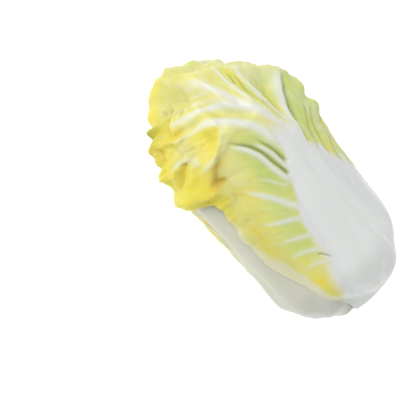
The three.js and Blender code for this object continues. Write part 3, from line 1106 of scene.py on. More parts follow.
@dataclass
class FrontLeaf(LeafPiece):
    """The outermost leaf: its midrib turns as it climbs, its left wing hangs over its neighbour in crumpled
    lobes, and its right wing stands off in pleats.

    Its tables give s in millimetres and psi in degrees. A hollow has its place, its radius and the share of
    painted shade in it, a darker orange at its bottom; a swell has its place, its reach along and across, and
    its height; and so has the curl at the top, but for a height. The cream patch's axes each have their
    shares of up and across, and their reach. MIDDLE, the flanks, SLIT and FOLD are lines up the leaf.
    """

    HANG_TURN = radians(30)
    HANG_LIFT = 2.0
    HANGS = Patch(((188, 216), (350, 300)), ((0.4, 1.0),))
    SHOULDER_LIFT = 8.0
    SHOULDER = Patch(((150, 215), (290, 235)), ((0.45, 0.8),))
    SMOOTH_CROWN = (285, 240)
    WIDENS = Patch(((70, 125), (225, 175)), ((0.4, 1),), 0.19)
    LIES_FLAT = Patch(((200, 170),), ((0.3, 0.7),), 0.8)
    MIDDLE = (
        (0, 0), (150, -1), (181, -4), (200, -8), (214, -5.5), (228, -2.5), (243, 2.5), (258, 6), (282, 10),
        (304, 12.5), (360, 16),
    )
    LEFT_FLANK = (
        (0, 56), (24, 49.5), (54, 42), (72, 39), (93, 34), (106, 32), (131, 29.7), (139, 28.2), (147, 24.5),
        (156, 21.3), (164, 18.5), (178, 14), (189, 8.8), (196, 6.5), (207, 6), (222, 6), (240, 3),
    )
    RIGHT_FLANK = (
        (0, 70), (90, 66), (108, 58), (122, 48), (136, 43), (150, 38), (166, 31), (182, 20.5), (193, 18),
        (205, 16), (215, 12.5), (240, 5),
    )
    BLUR = (6.1, 1.6)
    BLUR_ENDS = (85, 135)
    STREAKED = 4.0
    BODY_ENDS = (230, 203)
    SLIT = (
        (176, -19), (182, -20.6), (193, -24.5), (205, -29.5), (217, -34), (228, -38), (237, -43.5),
        (251, -56),
    )
    FOLD = (
        (180, 66), (190, 58), (200, 51), (206, 47.7), (215, 44.2), (225, 40.3), (235, 35.8), (241, 32),
        (250, 28), (261, 34), (269, 41.5), (275, 48), (290, 53.5), (304, 56.5),
    )
    VEINS = (
        Stroke(((186, -6), *MIDDLE[3:-1], (350, 16)), (5.4, 3.0), (0.95, 0.6)),
        Stroke(((186, 0), (199, 4), (212, 7), (226, 10.3), (239, 16.3), (250, 23.5), (261, 32), (269, 40),
            (275, 47.4), (290, 53), (304, 56)), (5.5, 2.4), (2.4, 1.6), fade=0.45),
        Stroke(((234, -2), (246, 4.7), (259, 12), (270, 19.7), (281, 29.6), (295, 39.5), (304, 48),
            (311, 53.8), (318, 58)), (4.6, 2.2), (1.4, 0.6), fade=0.4),
        Stroke(((190, -10), (209, -16), (219, -16.5), (231, -16), (247, -18), (263, -20), (283, -26),
            (318, -46)), (3.2, 3.2), (1.6, 0.7)),
        Stroke(((182, -12), (199, -18.7), (213, -24), (226, -31.3), (241, -40), (256, -53)), (4.0, 5.0),
            (2.6, 2.2)),
        Stroke(((134, 16), (146, 22.7), (158, 28.3), (172, 34.5), (184, 42.1), (196, 52.3)), (4.0, 1.8),
            (0.8, 0.4), 0.9, 0.7),
        Stroke(((130, 20), (138, 26.7), (146, 36.3), (151, 48.4), (155, 58.7)), (3.4, 1.5), (0.55, 0.2),
            0.85, 0.6),
        Stroke(((112, 22), (120, 28.3), (126, 37.9), (129, 46.9), (130, 58.4)), (3.0, 1.4), (0.5, 0.2),
            0.8, 0.6),
        Stroke(((98, 25), (106, 32), (111, 40.5), (113, 49.4), (108, 58.8)), (3.2, 1.5), (0.5, 0.2),
            0.75, 0.6),
        Stroke(((86, 28), (96, 40), (96, 55)), (3.0, 1.6), (0.3, 0.15), 0.6, 0.5),
        Stroke(((122, 33), (134, 42), (138, 57)), (1.3, 0.9), (0.15, 0.1)),
        Stroke(((168, 15), (173, 22.2), (184, 27.7), (195, 34)), (1.6, 1.0), (0.5, 0.2)),
        Stroke(((150, 33), (163, 40), (172, 50)), (1.3, 0.8), (0.12, 0.1)),
        Stroke(((170, 14), (176, 17.5), (190, 20.3), (207, 22.4), (223, 28), (232, 34)), (2.6, 2.2),
            (1.7, 1.6)),
        Stroke(((178, 10), (184, 12.9), (198, 14.3), (211, 17.4), (223, 21.6)), (2.2, 1.4), (1.2, 0.8)),
        Stroke(((262, 8), (290, 24), (318, 34), (345, 40)), (2.6, 1.6), (0.4, 0.25)),
        Stroke(((246, -1), (272, -5), (300, -12), (330, -18)), (2.6, 1.2), (0.8, 0.5)),
        Stroke(((277, 8), (300, 14.5), (314, 18), (330, 24)), (2.0, 1.2), (0.25, 0.1), 0.5, 0.5),
        Stroke(((270, 9), (281, 13), (292, 18), (307, 24), (318, 30)), (1.8, 1.1), (0.25, 0.1), 0.45, 0.5),
        Stroke(((283, 8), (293, 4.5), (304, 1.5), (322, -3)), (1.6, 1.0), (0.2, 0.1), 0.45, 0.5),
    )
    RIDGES = (
        Stroke(((250, 28), (241, 31.8), (235, 34.4), (231, 37.6), (229, 41.3), (227, 45.3), (224, 50)),
            (3.4, 3.0), (3.6, 3.2)),
        Stroke(((253, 56), (249, 53.6), (245, 50.5), (236, 47.4), (230, 46.5)), (2.2, 2.2), (2.2, 2.2)),
        Stroke(((225, 40.8), (218, 43.6), (210, 46.6)), (1.8, 1.8), (1.8, 1.4)),
        Stroke(((252, 56.5), (243, 57), (236, 58.5), (228, 61.5), (222, 63)), (2.6, 2.4), (2.8, 2.0)),
        Stroke(((238, 49.6), (233, 50.6), (227, 51.8), (219, 53)), (2.4, 2.4), (2.4, 1.6)),
        Stroke(((272, 46), (280, 49.5), (292, 53.5), (308, 56)), (2.8, 2.2), (3.2, 2.4)),
        Stroke(((262, 70), (244, 66.5), (232, 67), (223, 62)), (2.4, 2.4), (2.2, 1.8)),
    )
    HEMS = RIDGES[:2]
    CREASES = (
        Stroke(((173, 13), (180, 14.5), (194, 17.2), (207, 19.2), (219, 23.4), (229, 29.4), (237, 33)),
            (1.0, 1.2), (-3.8, -3.2)),
        Stroke(((183, 8.5), (190, 10), (201, 11.4), (212, 14.5), (222, 17.5)), (1.2, 1.1), (-3.2, -1.8)),
        Stroke(SLIT, (1.9, 2.8), (-7.0, -6.0)),
        Stroke(((160, -32), (166, -33.4), (180, -37), (191, -40), (205, -46)), (1.6, 1.8), (-3.0, -3.2)),
        Stroke(((166, -25), (172, -27), (187, -32.5), (200, -38), (213, -44)), (1.2, 1.3), (-1.2, -1.4)),
        Stroke(((145, -37), (150, -38), (168, -43), (184, -49), (200, -57)), (1.5, 1.8), (-2.2, -2.6)),
        Stroke(((124, -41), (130, -42), (150, -47), (170, -53), (190, -61)), (1.5, 1.8), (-1.8, -2.4)),
        Stroke(((102.5, 35), (101, 33.5), (96, 30.5), (90, 28)), (0.8, 0.6), (-1.8, -1.2)),
        Stroke(((248, -8), (252, -9), (264, -10), (278, -14), (290, -14)), (1.5, 1.2), (-2.6, -1.8)),
        Stroke(((255, -13), (260, -14), (272, -17), (286, -19)), (1.2, 1.0), (-1.8, -1.2)),
        Stroke(((302, 36), (304, 35), (309, 31), (311, 28)), (0.9, 0.8), (-1.8, -1.2)),
        Stroke(((226, 40), (221, 42.2), (214, 44.6), (207, 46.6), (201, 49)), (1.3, 1.5), (-1.5, -1.4)),
        Stroke(((299, 57.7), (290, 59.5), (280, 61.5), (266, 64.3)), (1.5, 1.4), (-3.2, -2.2)),
        Stroke(((247, 53), (241, 54), (235, 55.2), (226, 57.6), (219, 59)), (1.3, 1.4), (-3.2, -2.2)),
    )
    FURROWS = (
        Stroke(((233, 6), (243, 11), (254, 18.5), (264, 27), (274, 36), (284, 45)), (2.6, 4.5), (-0.8, -2.6),
            tinted_by=0.15),
        Stroke(((226, -10), (240, -10), (256, -11), (276, -15), (300, -22)), (2.6, 4.5), (-0.8, -1.6),
            tinted_by=0.15),
        Stroke(((206, -18.5), (220, -23), (236, -28), (255, -33), (285, -42)), (2.2, 6.5), (-1.0, -1.6),
            tinted_by=0.15),
    )
    HOLLOWS = (
        (317, 35, 4, 0.9), (322, 42, 3.5, 0.9), (285, 46.5, 5, 0.7), (242, 40, 6, 0.15), (209, 44, 3, 0.9),
        (300, 64, 6, 0.3), (268, 68, 6, 0.3), (327, 35.5, 3.5, 0.9), (332, 38, 2.5, 0.8),
    )
    HOLLOW_DEPTH = 4.0
    SWELLS = (
        (337, 13, 20, 13, 10.5), (350, 26, 18, 12, 4.0), (338, 3, 14, 8, 4.0), (333, -13, 16, 11, -6.5),
        (360, 46, 22, 14, -3.0), (332, 52, 6.5, 4.5, 12.0), (310, -53, 13, 9, -5.0), (197, -50, 8, 9, 5.0),
        (208, -49, 5, 7, -3.0), (183, -44, 5, 6, -2.0), (217, -52, 7, 10, 3.0), (338, 13, 22, 16, 9.5),
        (339, -16, 10, 7, -4.0), (314, -29, 14, 8, 5.0), (269, -41, 16, 9, 2.5), (262, -48, 26, 12, 5.0),
        (312, 57, 26, 9, 7.0), (268, 64, 20, 6, 3.0),
    )
    AT_FOLD = Patch(((198, 205), (244, 236)), ())
    FOLD_REACH = 4.0
    LOBE_STARTS = (200, 184)
    LOBE_ENDS = (300, 265)
    LOBE_TURNS = (48, 60)
    LOBE_EDGE = (-1.0, 2.0)
    LOBE_RISE = (0, 8)
    UPPER_LOBE = Patch(((250, 275), (355, 325)), ((38, 52),))
    STEP = Patch(((198, 205), (250, 232)), ((-0.8, 1.2), (20, 5)), 5.5)
    LOW_STEP = Patch(((240, 215),), ((48, 54),), 2.4)
    KNOBS = Grain(91)
    GRIT = Grain(92)
    CRUMPLE = (1.9, 0.4)
    CRUMPLE_CELL = (25.0, 27.0)
    CREAM_AT = (258.0, 49.5)
    CREAM_AXES = ((0.38, 1.03, 17.0), (-0.46, 1.04, 11.0))
    RIBBED = 0.35
    CURL = (334.0, 54.0, 6.0, 5.0)
    NEAR_RIB = Patch(((85, 120), (240, 185)), ((-2, 3), (40, 10)), 0.8)
    PLEATS = Patch(((170, 190), (250, 225)), ((4, 10), (34, 28)), 0.7)
    WING = Patch(((60, 110),), ((-3, 2),))
    STRIPES_END = (240, 215)
    ABOVE_SLIT = Patch(((180, 195), (275, 235)), ((0, 4),), 0.45)
    EDGING = Patch(((200, 230),), ((0.93, 1.04),), 0.3)
    FADES = Patch(((182, 150),), ((0.93, 1.0),), 0.55)
    PALE_TOP = Patch(((238, 262),), ((-18, -30),), 0.25)
    LOW_MARGIN = Patch(((205, 190),), ((34, 50),), 0.42)
    # painted shade: the crown's top, where the key light falls strongest, drawn a little darker and richer
    SHADED_CROWN = Patch(((285, 315),), ((-32, -18),))
    RIM = Patch(((330, 346),), ((8, 22),))
    RIGHT_BLADE = Patch(((205, 220), (310, 290)), ((-6, -12),), 0.3)

    def outline(self) -> Spots:
        """The grid, its left margin drawn out over the neighbour below the hanging wing."""
        at = super().outline()
        return replace(at, psi=at.psi * (1 + self.WIDENS.on(at.s, at.v)))

    def hanging(self, at: Spots) -> Array:
        """How much of a place belongs to the hanging wing, from 0 to 1."""
        return self.HANGS.on(at.s, at.psi / self.leaf.half_angle(at.s))

    def bearing(self, at: Spots) -> Array:
        """The midrib's bearing, with the hanging wing turned down over its neighbour."""
        return self.leaf.bearing + self.HANG_TURN * self.hanging(at)

    def middle(self, s: Array) -> Array:
        """The midrib's angle off the leaf's middle."""
        return radians(1) * along(self.MIDDLE, s)

    def close(self, at: Spots) -> Array:
        """The lower left margin lies flat on the neighbour's midrib."""
        return self.CLOSE + self.LIES_FLAT.on(at.s, at.psi)

    def smooth(self, s: Array) -> Array:
        """The frill dies out over the crown."""
        return ramp(*self.SMOOTH_CROWN, s)

    def hollows(self, at: Spots) -> tuple[Array, Array]:
        """The small round hollows: bells about their middles, with a narrower one of painted shade, a darker
        orange, in each.

        Args:
            at: the places.

        Returns:
            The depth's share and the painted shade's.
        """
        pits, pit_shade = np.zeros_like(at.s), np.zeros_like(at.s)
        for s, psi, size, strength in self.HOLLOWS:
            near = np.hypot(at.s - s, at.arc - radians(psi) * SHEATH.radius)
            pits = np.maximum(pits, dome(near, 0, size))
            # painted shade: a darker orange in the bottom of each pit
            pit_shade = np.maximum(pit_shade, strength * dome(near, 0, size / 1.3))
        return pits, pit_shade

    def lobes(self, at: Spots, past: Array) -> tuple[Array, Array, Array]:
        """The hanging wing's yellow lobes: they start past the fold with a step and crumple in knobs, but for
        a smoother cream patch, an ellipse that leans over them.

        Args:
            at: the places.
            past: degrees past the fold.

        Returns:
            The lobes' share, their height in millimetres and the cream patch's share.
        """
        s, turn = at.s, at.turn
        after = s - between(self.LOBE_STARTS, ramp(*self.LOBE_TURNS, turn))
        lobe = ramp(*self.LOBE_EDGE, past) * ramp(*self.LOBE_RISE, after) * ramp(*self.LOBE_ENDS, s)
        lobe = np.maximum(lobe, self.UPPER_LOBE.on(s, turn))
        step = self.STEP.on(s, past) + self.LOW_STEP.on(s, turn) * ramp(0, 5, after)
        up, out = s - self.CREAM_AT[0], at.arc - radians(self.CREAM_AT[1]) * SHEATH.radius
        cream = np.prod([dome(up * a + out * b, 0, reach) for a, b, reach in self.CREAM_AXES], axis=0)
        knobs = self.KNOBS.domes(at.arc / self.CRUMPLE_CELL[0] + 3, s / self.CRUMPLE_CELL[1]) ** 0.8
        coarse, fine = self.CRUMPLE
        crumple = coarse * (1 - 0.75 * cream) * (knobs - 0.35) + fine * self.GRIT.noise(at.arc / 9, s / 10)
        return lobe, step + lobe * crumple, cream

    def body(self, at: Spots, wander: Array, streak: Array) -> Array:
        """The white midrib's share: its left flank is blurred, more so near the root, and its right flank
        ends in streaks.

        Args:
            at: the places.
            wander: slow noise.
            streak: noise drawn out along the leaf.

        Returns:
            The share.
        """
        blur = between(self.BLUR, ramp(*self.BLUR_ENDS, at.s))
        inside_left = ramp(-blur, blur, along(self.LEFT_FLANK, at.s) - at.turn + 1.5 * wander)
        past_right = at.turn + along(self.RIGHT_FLANK, at.s) + 5 * streak
        inside_right = ramp(-self.STREAKED, self.STREAKED, past_right)
        return inside_left * inside_right * ramp(*self.BODY_ENDS, at.s + 5 * wander)

    def relief(self, at: Spots, share: Array) -> Relief:
        """The front leaf's relief: flanks, creases, the raised fold, lobes with hollows, and the shoulder;
        and its tissue, patch by patch, with painted shade in its creases, hollows and furrows, at the fold
        and on the crown's top.

        Args:
            at: the places.
            share: the edge share.

        Returns:
            What the surface does at each place.
        """
        s, turn = at.s, at.turn
        wander = self.noise(at, 9, 22)
        streak = self.noise(at, 4.2, 110) + 0.6 * self.noise(at, 2.1, 80, 9)
        ribs = self.grain.noise(60 * at.u, 2 * at.v)
        body = self.body(at, wander, streak)
        veins, veined = drawn(self.VEINS, at)
        dark, creased = drawn(self.CREASES, at)
        gold, furrowed = drawn(self.FURROWS, at)
        ridged, raised = drawn(self.RIDGES, at)
        hem, _ = drawn(self.HEMS, at)
        pits, pit_shade = self.hollows(at)
        past = turn - along(self.FOLD, s)
        lobe, crumpled, cream = self.lobes(at, past)
        off_rib = 1 - np.maximum(body, veins)
        pucker, _ = self.puckers(at, off_rib)
        swell = sum(
            high * dome(s, to, long) * dome(turn, by, wide) for to, by, long, wide, high in self.SWELLS
        )
        shoulder = self.SHOULDER_LIFT * self.SHOULDER.on(s, -at.psi / self.leaf.half_angle(s))
        lift = pucker + creased + furrowed + crumpled + raised - self.HOLLOW_DEPTH * pits + swell + shoulder
        lift = lift + self.HANG_LIFT * self.hanging(at) + self.RIBBED * ribs * off_rib * ramp(90, 130, s)

        slit = along(self.SLIT, s)
        at_fold = self.AT_FOLD.on(s, past) * dome(past, 0, self.FOLD_REACH)
        wing = self.WING.on(s, -turn - along(self.RIGHT_FLANK, s))
        crown, rim = self.SHADED_CROWN.on(s, turn), self.RIM.on(s, turn)
        to, off, long, wide = self.CURL
        curl = dome(s, to, long) * dome(turn, off, wide)

        stripes = 0.22 * wing * ramp(0.0, 0.5, self.noise(at, 5, 120, 5)) * ramp(*self.STRIPES_END, s)
        white = np.maximum(np.maximum(body, 0.92 * veins), stripes)
        white = white * (1 - 0.7 * pit_shade) * (1 - 0.75 * ramp(0.25, 0.8, lobe) * (1 - 0.6 * veins))
        fades = self.FADES.on(s, at.v + 0.03 * wander + 0.10 * ramp(150, 95, s))
        white = white + self.EDGING.on(s, share) + self.PALE_TOP.on(s, turn) + fades
        white = white + 0.12 * hem + 0.2 * cream * lobe

        green = self.NEAR_RIB.on(s, turn - along(self.LEFT_FLANK, s)) + self.PLEATS.on(s, turn) * (1 - veins)
        green = green + wing * (0.62 + 0.5 * streak) * (1 - 0.7 * ramp(255, 290, s))
        green = green + self.ABOVE_SLIT.on(s, slit - turn) + 0.22 * ribs * (1 - lobe) + curl
        # painted shade: creases on the blade drawn greener, towards olive
        green = green + 0.5 * dark * (s > 160) * (turn < 34)

        plain = 1.25 - 0.6 * veins - 0.5 * ridged - 0.9 * hem - 0.85 * cream
        rich = 0.15 + 0.25 * wander + lobe * (1 - curl) * plain
        rich = rich + self.LOW_MARGIN.on(s, turn) * (1 + 0.8 * self.noise(at, 16, 19, 3))
        # painted shade: the crown's top drawn a richer yellow, to darken it where the key light falls
        # strongest
        rich = rich + gold * (0.75 - 0.6 * ramp(0, 6, turn)) + 0.1 * crown + 0.5 * rim
        rich = rich + self.RIGHT_BLADE.on(s, turn) * ramp(0, 4, turn - slit)

        # painted shade: hollows, furrows, the gap beside the fold and creases in the lobes drawn a darker
        # orange
        hollow_shade = 0.85 * pit_shade + 0.12 * gold * ramp(235, 250, s) + 0.4 * at_fold * ramp(230, 222, s)
        hollow_shade = hollow_shade + dark * np.maximum(0.55 * lobe, 0.6 * at_fold)

        # painted shade: creases drawn towards a dark olive, less in the lobes, the midrib and the wing, and
        # the crown's top a little
        kept = (1 - 0.9 * np.maximum(lobe, at_fold)) * (1 - 0.85 * body * ramp(110, 125, s))
        kept = kept * (1 - 0.7 * wing * (s < 200)) * (1 - 0.45 * ramp(240, 255, s))
        shade = 0.09 * crown * (1 - rim) + np.clip(dark - 0.15, 0, 1) * kept
        return Relief(lift, veined * (1 - 0.9 * body), white, green, rich, hollow_shade, shade)


# --- Finishes ---

Colour = tuple[float, float, float]


@dataclass
class Nodes:
    """A node tree being built."""

    tree: bpy.types.NodeTree

    def add(self, kind: str, **settings: object) -> bpy.types.Node:
        """Adds a node and sets its properties; a setting that starts with in_ goes to the input of that name,
        with spaces as underscores, or joins an output to it.

        Args:
            kind: the node's type.
            settings: properties and inputs.

        Returns:
            The node.
        """
        node = self.tree.nodes.new(kind)
        for key, value in settings.items():
            if not key.startswith("in_"):
                setattr(node, key, value)
                continue
            label = key.removeprefix("in_")
            socket = node.inputs[int(label)] if label.isdigit() else node.inputs[label.replace("_", " ")]
            if isinstance(value, bpy.types.NodeSocket):
                self.tree.links.new(value, socket)
            else:
                socket.default_value = value
        return node

    def mix(self, share: object, first: object, second: object) -> bpy.types.NodeSocket:
        """A colour between two others.

        Args:
            share: 0 for the first, 1 for the second.
            first: a colour or a colour output.
            second: the other.

        Returns:
            The mixed colour's output.
        """
        node = self.tree.nodes.new("ShaderNodeMix")
        node.data_type = "RGBA"
        for index, value in ((0, share), (6, first), (7, second)):
            if isinstance(value, bpy.types.NodeSocket):
                self.tree.links.new(value, node.inputs[index])
            else:
                node.inputs[index].default_value = (*value, 1.0) if isinstance(value, tuple) else value
        return node.outputs[2]

    def math(self, operation: str, first: object, second: object = 0.0) -> bpy.types.NodeSocket:
        """The result of a sum on two values or value outputs."""
        return self.add("ShaderNodeMath", operation=operation, in_0=first, in_1=second).outputs[0]

    def times(self, first: object, second: object) -> bpy.types.NodeSocket:
        """The product of two values."""
        return self.math("MULTIPLY", first, second)

    def plus(self, first: object, second: object) -> bpy.types.NodeSocket:
        """The sum of two values."""
        return self.math("ADD", first, second)

    def less(self, first: object, second: object) -> bpy.types.NodeSocket:
        """The first value less the second."""
        return self.math("SUBTRACT", first, second)

    def mark(self, name: str) -> bpy.types.NodeSocket:
        """A point attribute's value."""
        return self.add("ShaderNodeAttribute", attribute_name=name).outputs["Fac"]

    def marked(self, name: str, tone: bpy.types.NodeSocket) -> bpy.types.NodeSocket:
        """A point attribute's value with tone added, kept between 0 and 1."""
        mark = self.mark(name)
        return self.add("ShaderNodeMath", operation="ADD", use_clamp=True, in_0=mark, in_1=tone).outputs[0]

    def net(self, vector: bpy.types.NodeSocket, scale: float, sharpness: float) -> bpy.types.NodeSocket:
        """1 on the borders of strewn cells, falling to 0 beside them.

        Args:
            vector: the place.
            scale: how many cells there are along one unit of it.
            sharpness: how fast the value falls beside a border.

        Returns:
            The value's output.
        """
        cells = self.add("ShaderNodeTexVoronoi", feature="DISTANCE_TO_EDGE", in_Vector=vector, in_Scale=scale)
        return self.less(1.0, self.math("MINIMUM", self.times(cells.outputs["Distance"], sharpness), 1.0))


def grain_group() -> bpy.types.NodeTree:
    """The shared pattern of living tissue, worked out from a leaf's own UV map.

    It takes the UV vector and gives Tone, slow blotches round 0.5; Net, 1 along a fine net of veinlets;
    Fibre, fine lines that run up the leaf; and Relief, the height of the net and the blotches together.

    Returns:
        The node group.
    """
    tree = bpy.data.node_groups.new("tissue_grain", "ShaderNodeTree")
    tree.interface.new_socket("Vector", in_out="INPUT", socket_type="NodeSocketVector")
    for name in ("Tone", "Net", "Fibre", "Relief"):
        tree.interface.new_socket(name, in_out="OUTPUT", socket_type="NodeSocketFloat")
    nodes = Nodes(tree)
    vector = tree.nodes.new("NodeGroupInput").outputs["Vector"]
    tone = nodes.add("ShaderNodeTexNoise", in_Vector=vector, in_Scale=7.0, in_Detail=4.0).outputs["Fac"]
    warp = nodes.add("ShaderNodeTexNoise", in_Vector=vector, in_Scale=14.0, in_Detail=2.0).outputs["Color"]
    bent = nodes.add("ShaderNodeVectorMath", operation="SCALE", in_0=warp, in_Scale=0.06).outputs[0]
    bent = nodes.add("ShaderNodeVectorMath", operation="ADD", in_0=vector, in_1=bent).outputs[0]
    net = nodes.net(bent, scale=17.0, sharpness=9.0)
    net = nodes.math("MAXIMUM", net, nodes.times(nodes.net(bent, scale=52.0, sharpness=7.0), 0.45))
    stretched = nodes.add("ShaderNodeVectorMath", operation="MULTIPLY", in_0=vector, in_1=(60.0, 1.6, 1.0))
    stretched = stretched.outputs[0]
    fibre = nodes.add("ShaderNodeTexNoise", in_Vector=stretched, in_Scale=1.0, in_Detail=3.0).outputs["Fac"]
    relief = nodes.plus(nodes.times(net, 0.5), nodes.times(tone, 0.8))
    out = tree.nodes.new("NodeGroupOutput")
    for name, value in (("Tone", tone), ("Net", net), ("Fibre", fibre), ("Relief", relief)):
        tree.links.new(value, out.inputs[name])
    return tree


class Tissue:
    """A material of living tissue being built: its nodes, and the shared pattern on the leaf's UV map."""

    BUMP = 0.0006

    def __init__(self, name: str, grain: bpy.types.NodeTree) -> None:
        """Starts the material.

        Args:
            name: its name.
            grain: the shared pattern of tissue.
        """
        self.material = bpy.data.materials.new(name)
        self.material.use_nodes = True
        self.nodes = Nodes(self.material.node_tree)
        uv = self.nodes.add("ShaderNodeUVMap", uv_map="leaf").outputs["UV"]
        self.pattern = self.nodes.add("ShaderNodeGroup", node_tree=grain, in_Vector=uv).outputs

    def tone(self, strength: float) -> bpy.types.NodeSocket:
        """The pattern's slow blotches, round 0."""
        return self.nodes.times(self.nodes.less(self.pattern["Tone"], 0.5), strength)

    def close(
        self,
        colour: bpy.types.NodeSocket,
        gloss: bpy.types.NodeSocket,
        height: bpy.types.NodeSocket,
        bump: float,
        see_in: tuple[float, Colour, float],
    ) -> bpy.types.Material:
        """Joins colour, roughness and bump to the shader and lets some light in.

        Args:
            colour: the base colour.
            gloss: the roughness.
            height: the height of the bump.
            bump: the bump's strength.
            see_in: the subsurface weight, radii and scale.

        Returns:
            The material.
        """
        shader = self.material.node_tree.nodes["Principled BSDF"]
        relief = self.nodes.add("ShaderNodeBump", in_Strength=bump, in_Distance=self.BUMP, in_Height=height)
        joined = {"Normal": relief.outputs["Normal"], "Base Color": colour, "Roughness": gloss}
        for name, output in joined.items():
            self.material.node_tree.links.new(output, shader.inputs[name])
        for name, value in zip(("Weight", "Radius", "Scale"), see_in):
            shader.inputs[f"Subsurface {name}"].default_value = value
        return self.material


@dataclass(frozen=True)
class LeafFinish:
    """Living leaf: a white midrib and veins, a blade between pale and rich yellow and green, and painted
    shade: a darker orange in hollows and creases, and a dark olive.

    Attributes:
        name: the material's name.
        white: the midrib and the veins.
        pale: the blade at its palest.
        rich: the blade where it is yellowest.
        green: the blade where it is greenest.
        hollow_shade: the bottom of hollows.
        gloss: the roughness of the midrib, and of the blade.
    """

    name: str
    white: Colour = (0.75, 0.77, 0.745)
    pale: Colour = (0.75, 0.73, 0.27)
    rich: Colour = (0.81, 0.69, 0.05)
    # deep: painted shade, a darker orange, at the bottom of hollows and in creases.
    green: Colour = (0.56, 0.66, 0.18)
    hollow_shade: Colour = (0.80, 0.55, 0.06)
    gloss: tuple[float, float] = (0.34, 0.46)

    BLOTCHES = 0.9
    NET = 0.22
    LINES = 0.30
    LINE_FROM = 0.45
    FIBRES = 0.35
    LINE_FADES = 0.86
    SHADE = 0.7
    SHADE_FADES = 0.32
    BUMP = 0.35
    SEE_IN = (0.25, (1.0, 0.95, 0.65), 0.004)

    def material(self, grain: bpy.types.NodeTree) -> bpy.types.Material:
        """The finish as a material.

        Args:
            grain: the shared pattern of tissue.

        Returns:
            The material.
        """
        tissue = Tissue(self.name, grain)
        nodes, pattern = tissue.nodes, tissue.pattern
        white = nodes.mark("white")
        off_white = nodes.less(1.0, white)
        tone = tissue.tone(self.BLOTCHES)
        rich = nodes.marked("rich", tone)
        green = nodes.times(nodes.mark("green"), nodes.less(1.0, tone))
        blade = nodes.mix(rich, self.pale, self.rich)
        blade = nodes.mix(green, blade, self.green)
        # painted shade: hollows, dips and creases drawn a darker orange
        blade = nodes.mix(nodes.mark("hollow_shade"), blade, self.hollow_shade)
        blade = nodes.mix(nodes.times(pattern["Net"], self.NET), blade, self.pale)
        lines = nodes.times(nodes.less(pattern["Fibre"], self.LINE_FROM), self.LINES)
        lines = nodes.math("MAXIMUM", lines, 0.0)
        clean = nodes.mix(lines, self.white, tuple(self.LINE_FADES * c for c in self.white))
        colour = nodes.mix(white, blade, clean)
        # painted shade: creases, fold edges and the crown's top drawn towards a dark olive
        shade = nodes.times(nodes.mark("shade"), self.SHADE)
        colour = nodes.mix(shade, colour, tuple(self.SHADE_FADES * c for c in self.green))
        height = nodes.times(pattern["Relief"], off_white)
        height = nodes.plus(height, nodes.times(pattern["Fibre"], self.FIBRES))
        smooth, rough = self.gloss
        gloss = nodes.plus(nodes.times(off_white, rough - smooth), smooth)
        return tissue.close(colour, gloss, height, self.BUMP, self.SEE_IN)


@dataclass(frozen=True)
class CutFinish:
    """The stem: a moist cut face with a darker ring of bundles, and a rim that has begun to dry.

    Attributes:
        name: the material's name.
        pith: the middle of the cut.
        ring: the bundles.
        rim: the dried rim.
    """

    name: str
    pith: Colour = (0.74, 0.76, 0.69)
    ring: Colour = (0.64, 0.66, 0.48)
    rim: Colour = (0.74, 0.75, 0.67)

    BLOTCHES = 0.8
    RING = 0.7
    GLOSS = (0.42, 0.25)
    BUMP = 0.5
    SEE_IN = (0.2, (1.0, 0.9, 0.6), 0.003)

    def material(self, grain: bpy.types.NodeTree) -> bpy.types.Material:
        """The finish as a material.

        Args:
            grain: the shared pattern of tissue.

        Returns:
            The material.
        """
        tissue = Tissue(self.name, grain)
        nodes = tissue.nodes
        tone = tissue.tone(self.BLOTCHES)
        ring, rim = nodes.marked("ring", tone), nodes.marked("rim", tone)
        colour = nodes.mix(nodes.times(ring, self.RING), self.pith, self.ring)
        colour = nodes.mix(nodes.times(rim, nodes.mark("rim")), colour, self.rim)
        moist, drier = self.GLOSS
        gloss = nodes.plus(nodes.times(nodes.mark("rim"), drier), moist)
        return tissue.close(colour, gloss, tissue.pattern["Relief"], self.BUMP, self.SEE_IN)


# --- Heart and stem ---


def with_poles(grid: Array) -> Array:
    """A grid's values, row after row, between the means of its first and its last row."""
    first, last = (grid[row].reshape(grid.shape[1], -1).mean(0)[None] for row in (0, -1))
    return np.concatenate([first, grid.reshape(grid.shape[0] * grid.shape[1], -1), last])


def closed_skin(
    name: str, start: Array, rings: Array, end: Array, uv: Array, marks: dict[str, Array]
) -> bpy.types.Object:
    """A closed surface of rings between two poles.

    Args:
        name: the object's name.
        start: the first pole's point.
        rings: the rings' points, rings by sides by 3.
        end: the last pole's point.
        uv: places in the UV map, rings by sides by 2.
        marks: point attributes, rings by sides each; a pole takes its ring's mean.

    Returns:
        The object.
    """
    rows, sides = rings.shape[:2]
    around = 1 + np.arange(sides)
    after, none = np.roll(around, -1), 0 * around
    top, last = (rows - 1) * sides, none + rows * sides + 1
    first = np.stack([after, around, none, none], axis=-1)
    close = np.stack([top + around, top + after, last, last], axis=-1)
    quads = np.concatenate([first, grid_quads(rows, sides, 1, wrap=True), close])
    points = np.concatenate([start[None], rings.reshape(-1, 3), end[None]])
    values = {label: with_poles(grid).ravel() for label, grid in marks.items()}
    return add_mesh(name, points, quads, with_poles(uv), values)


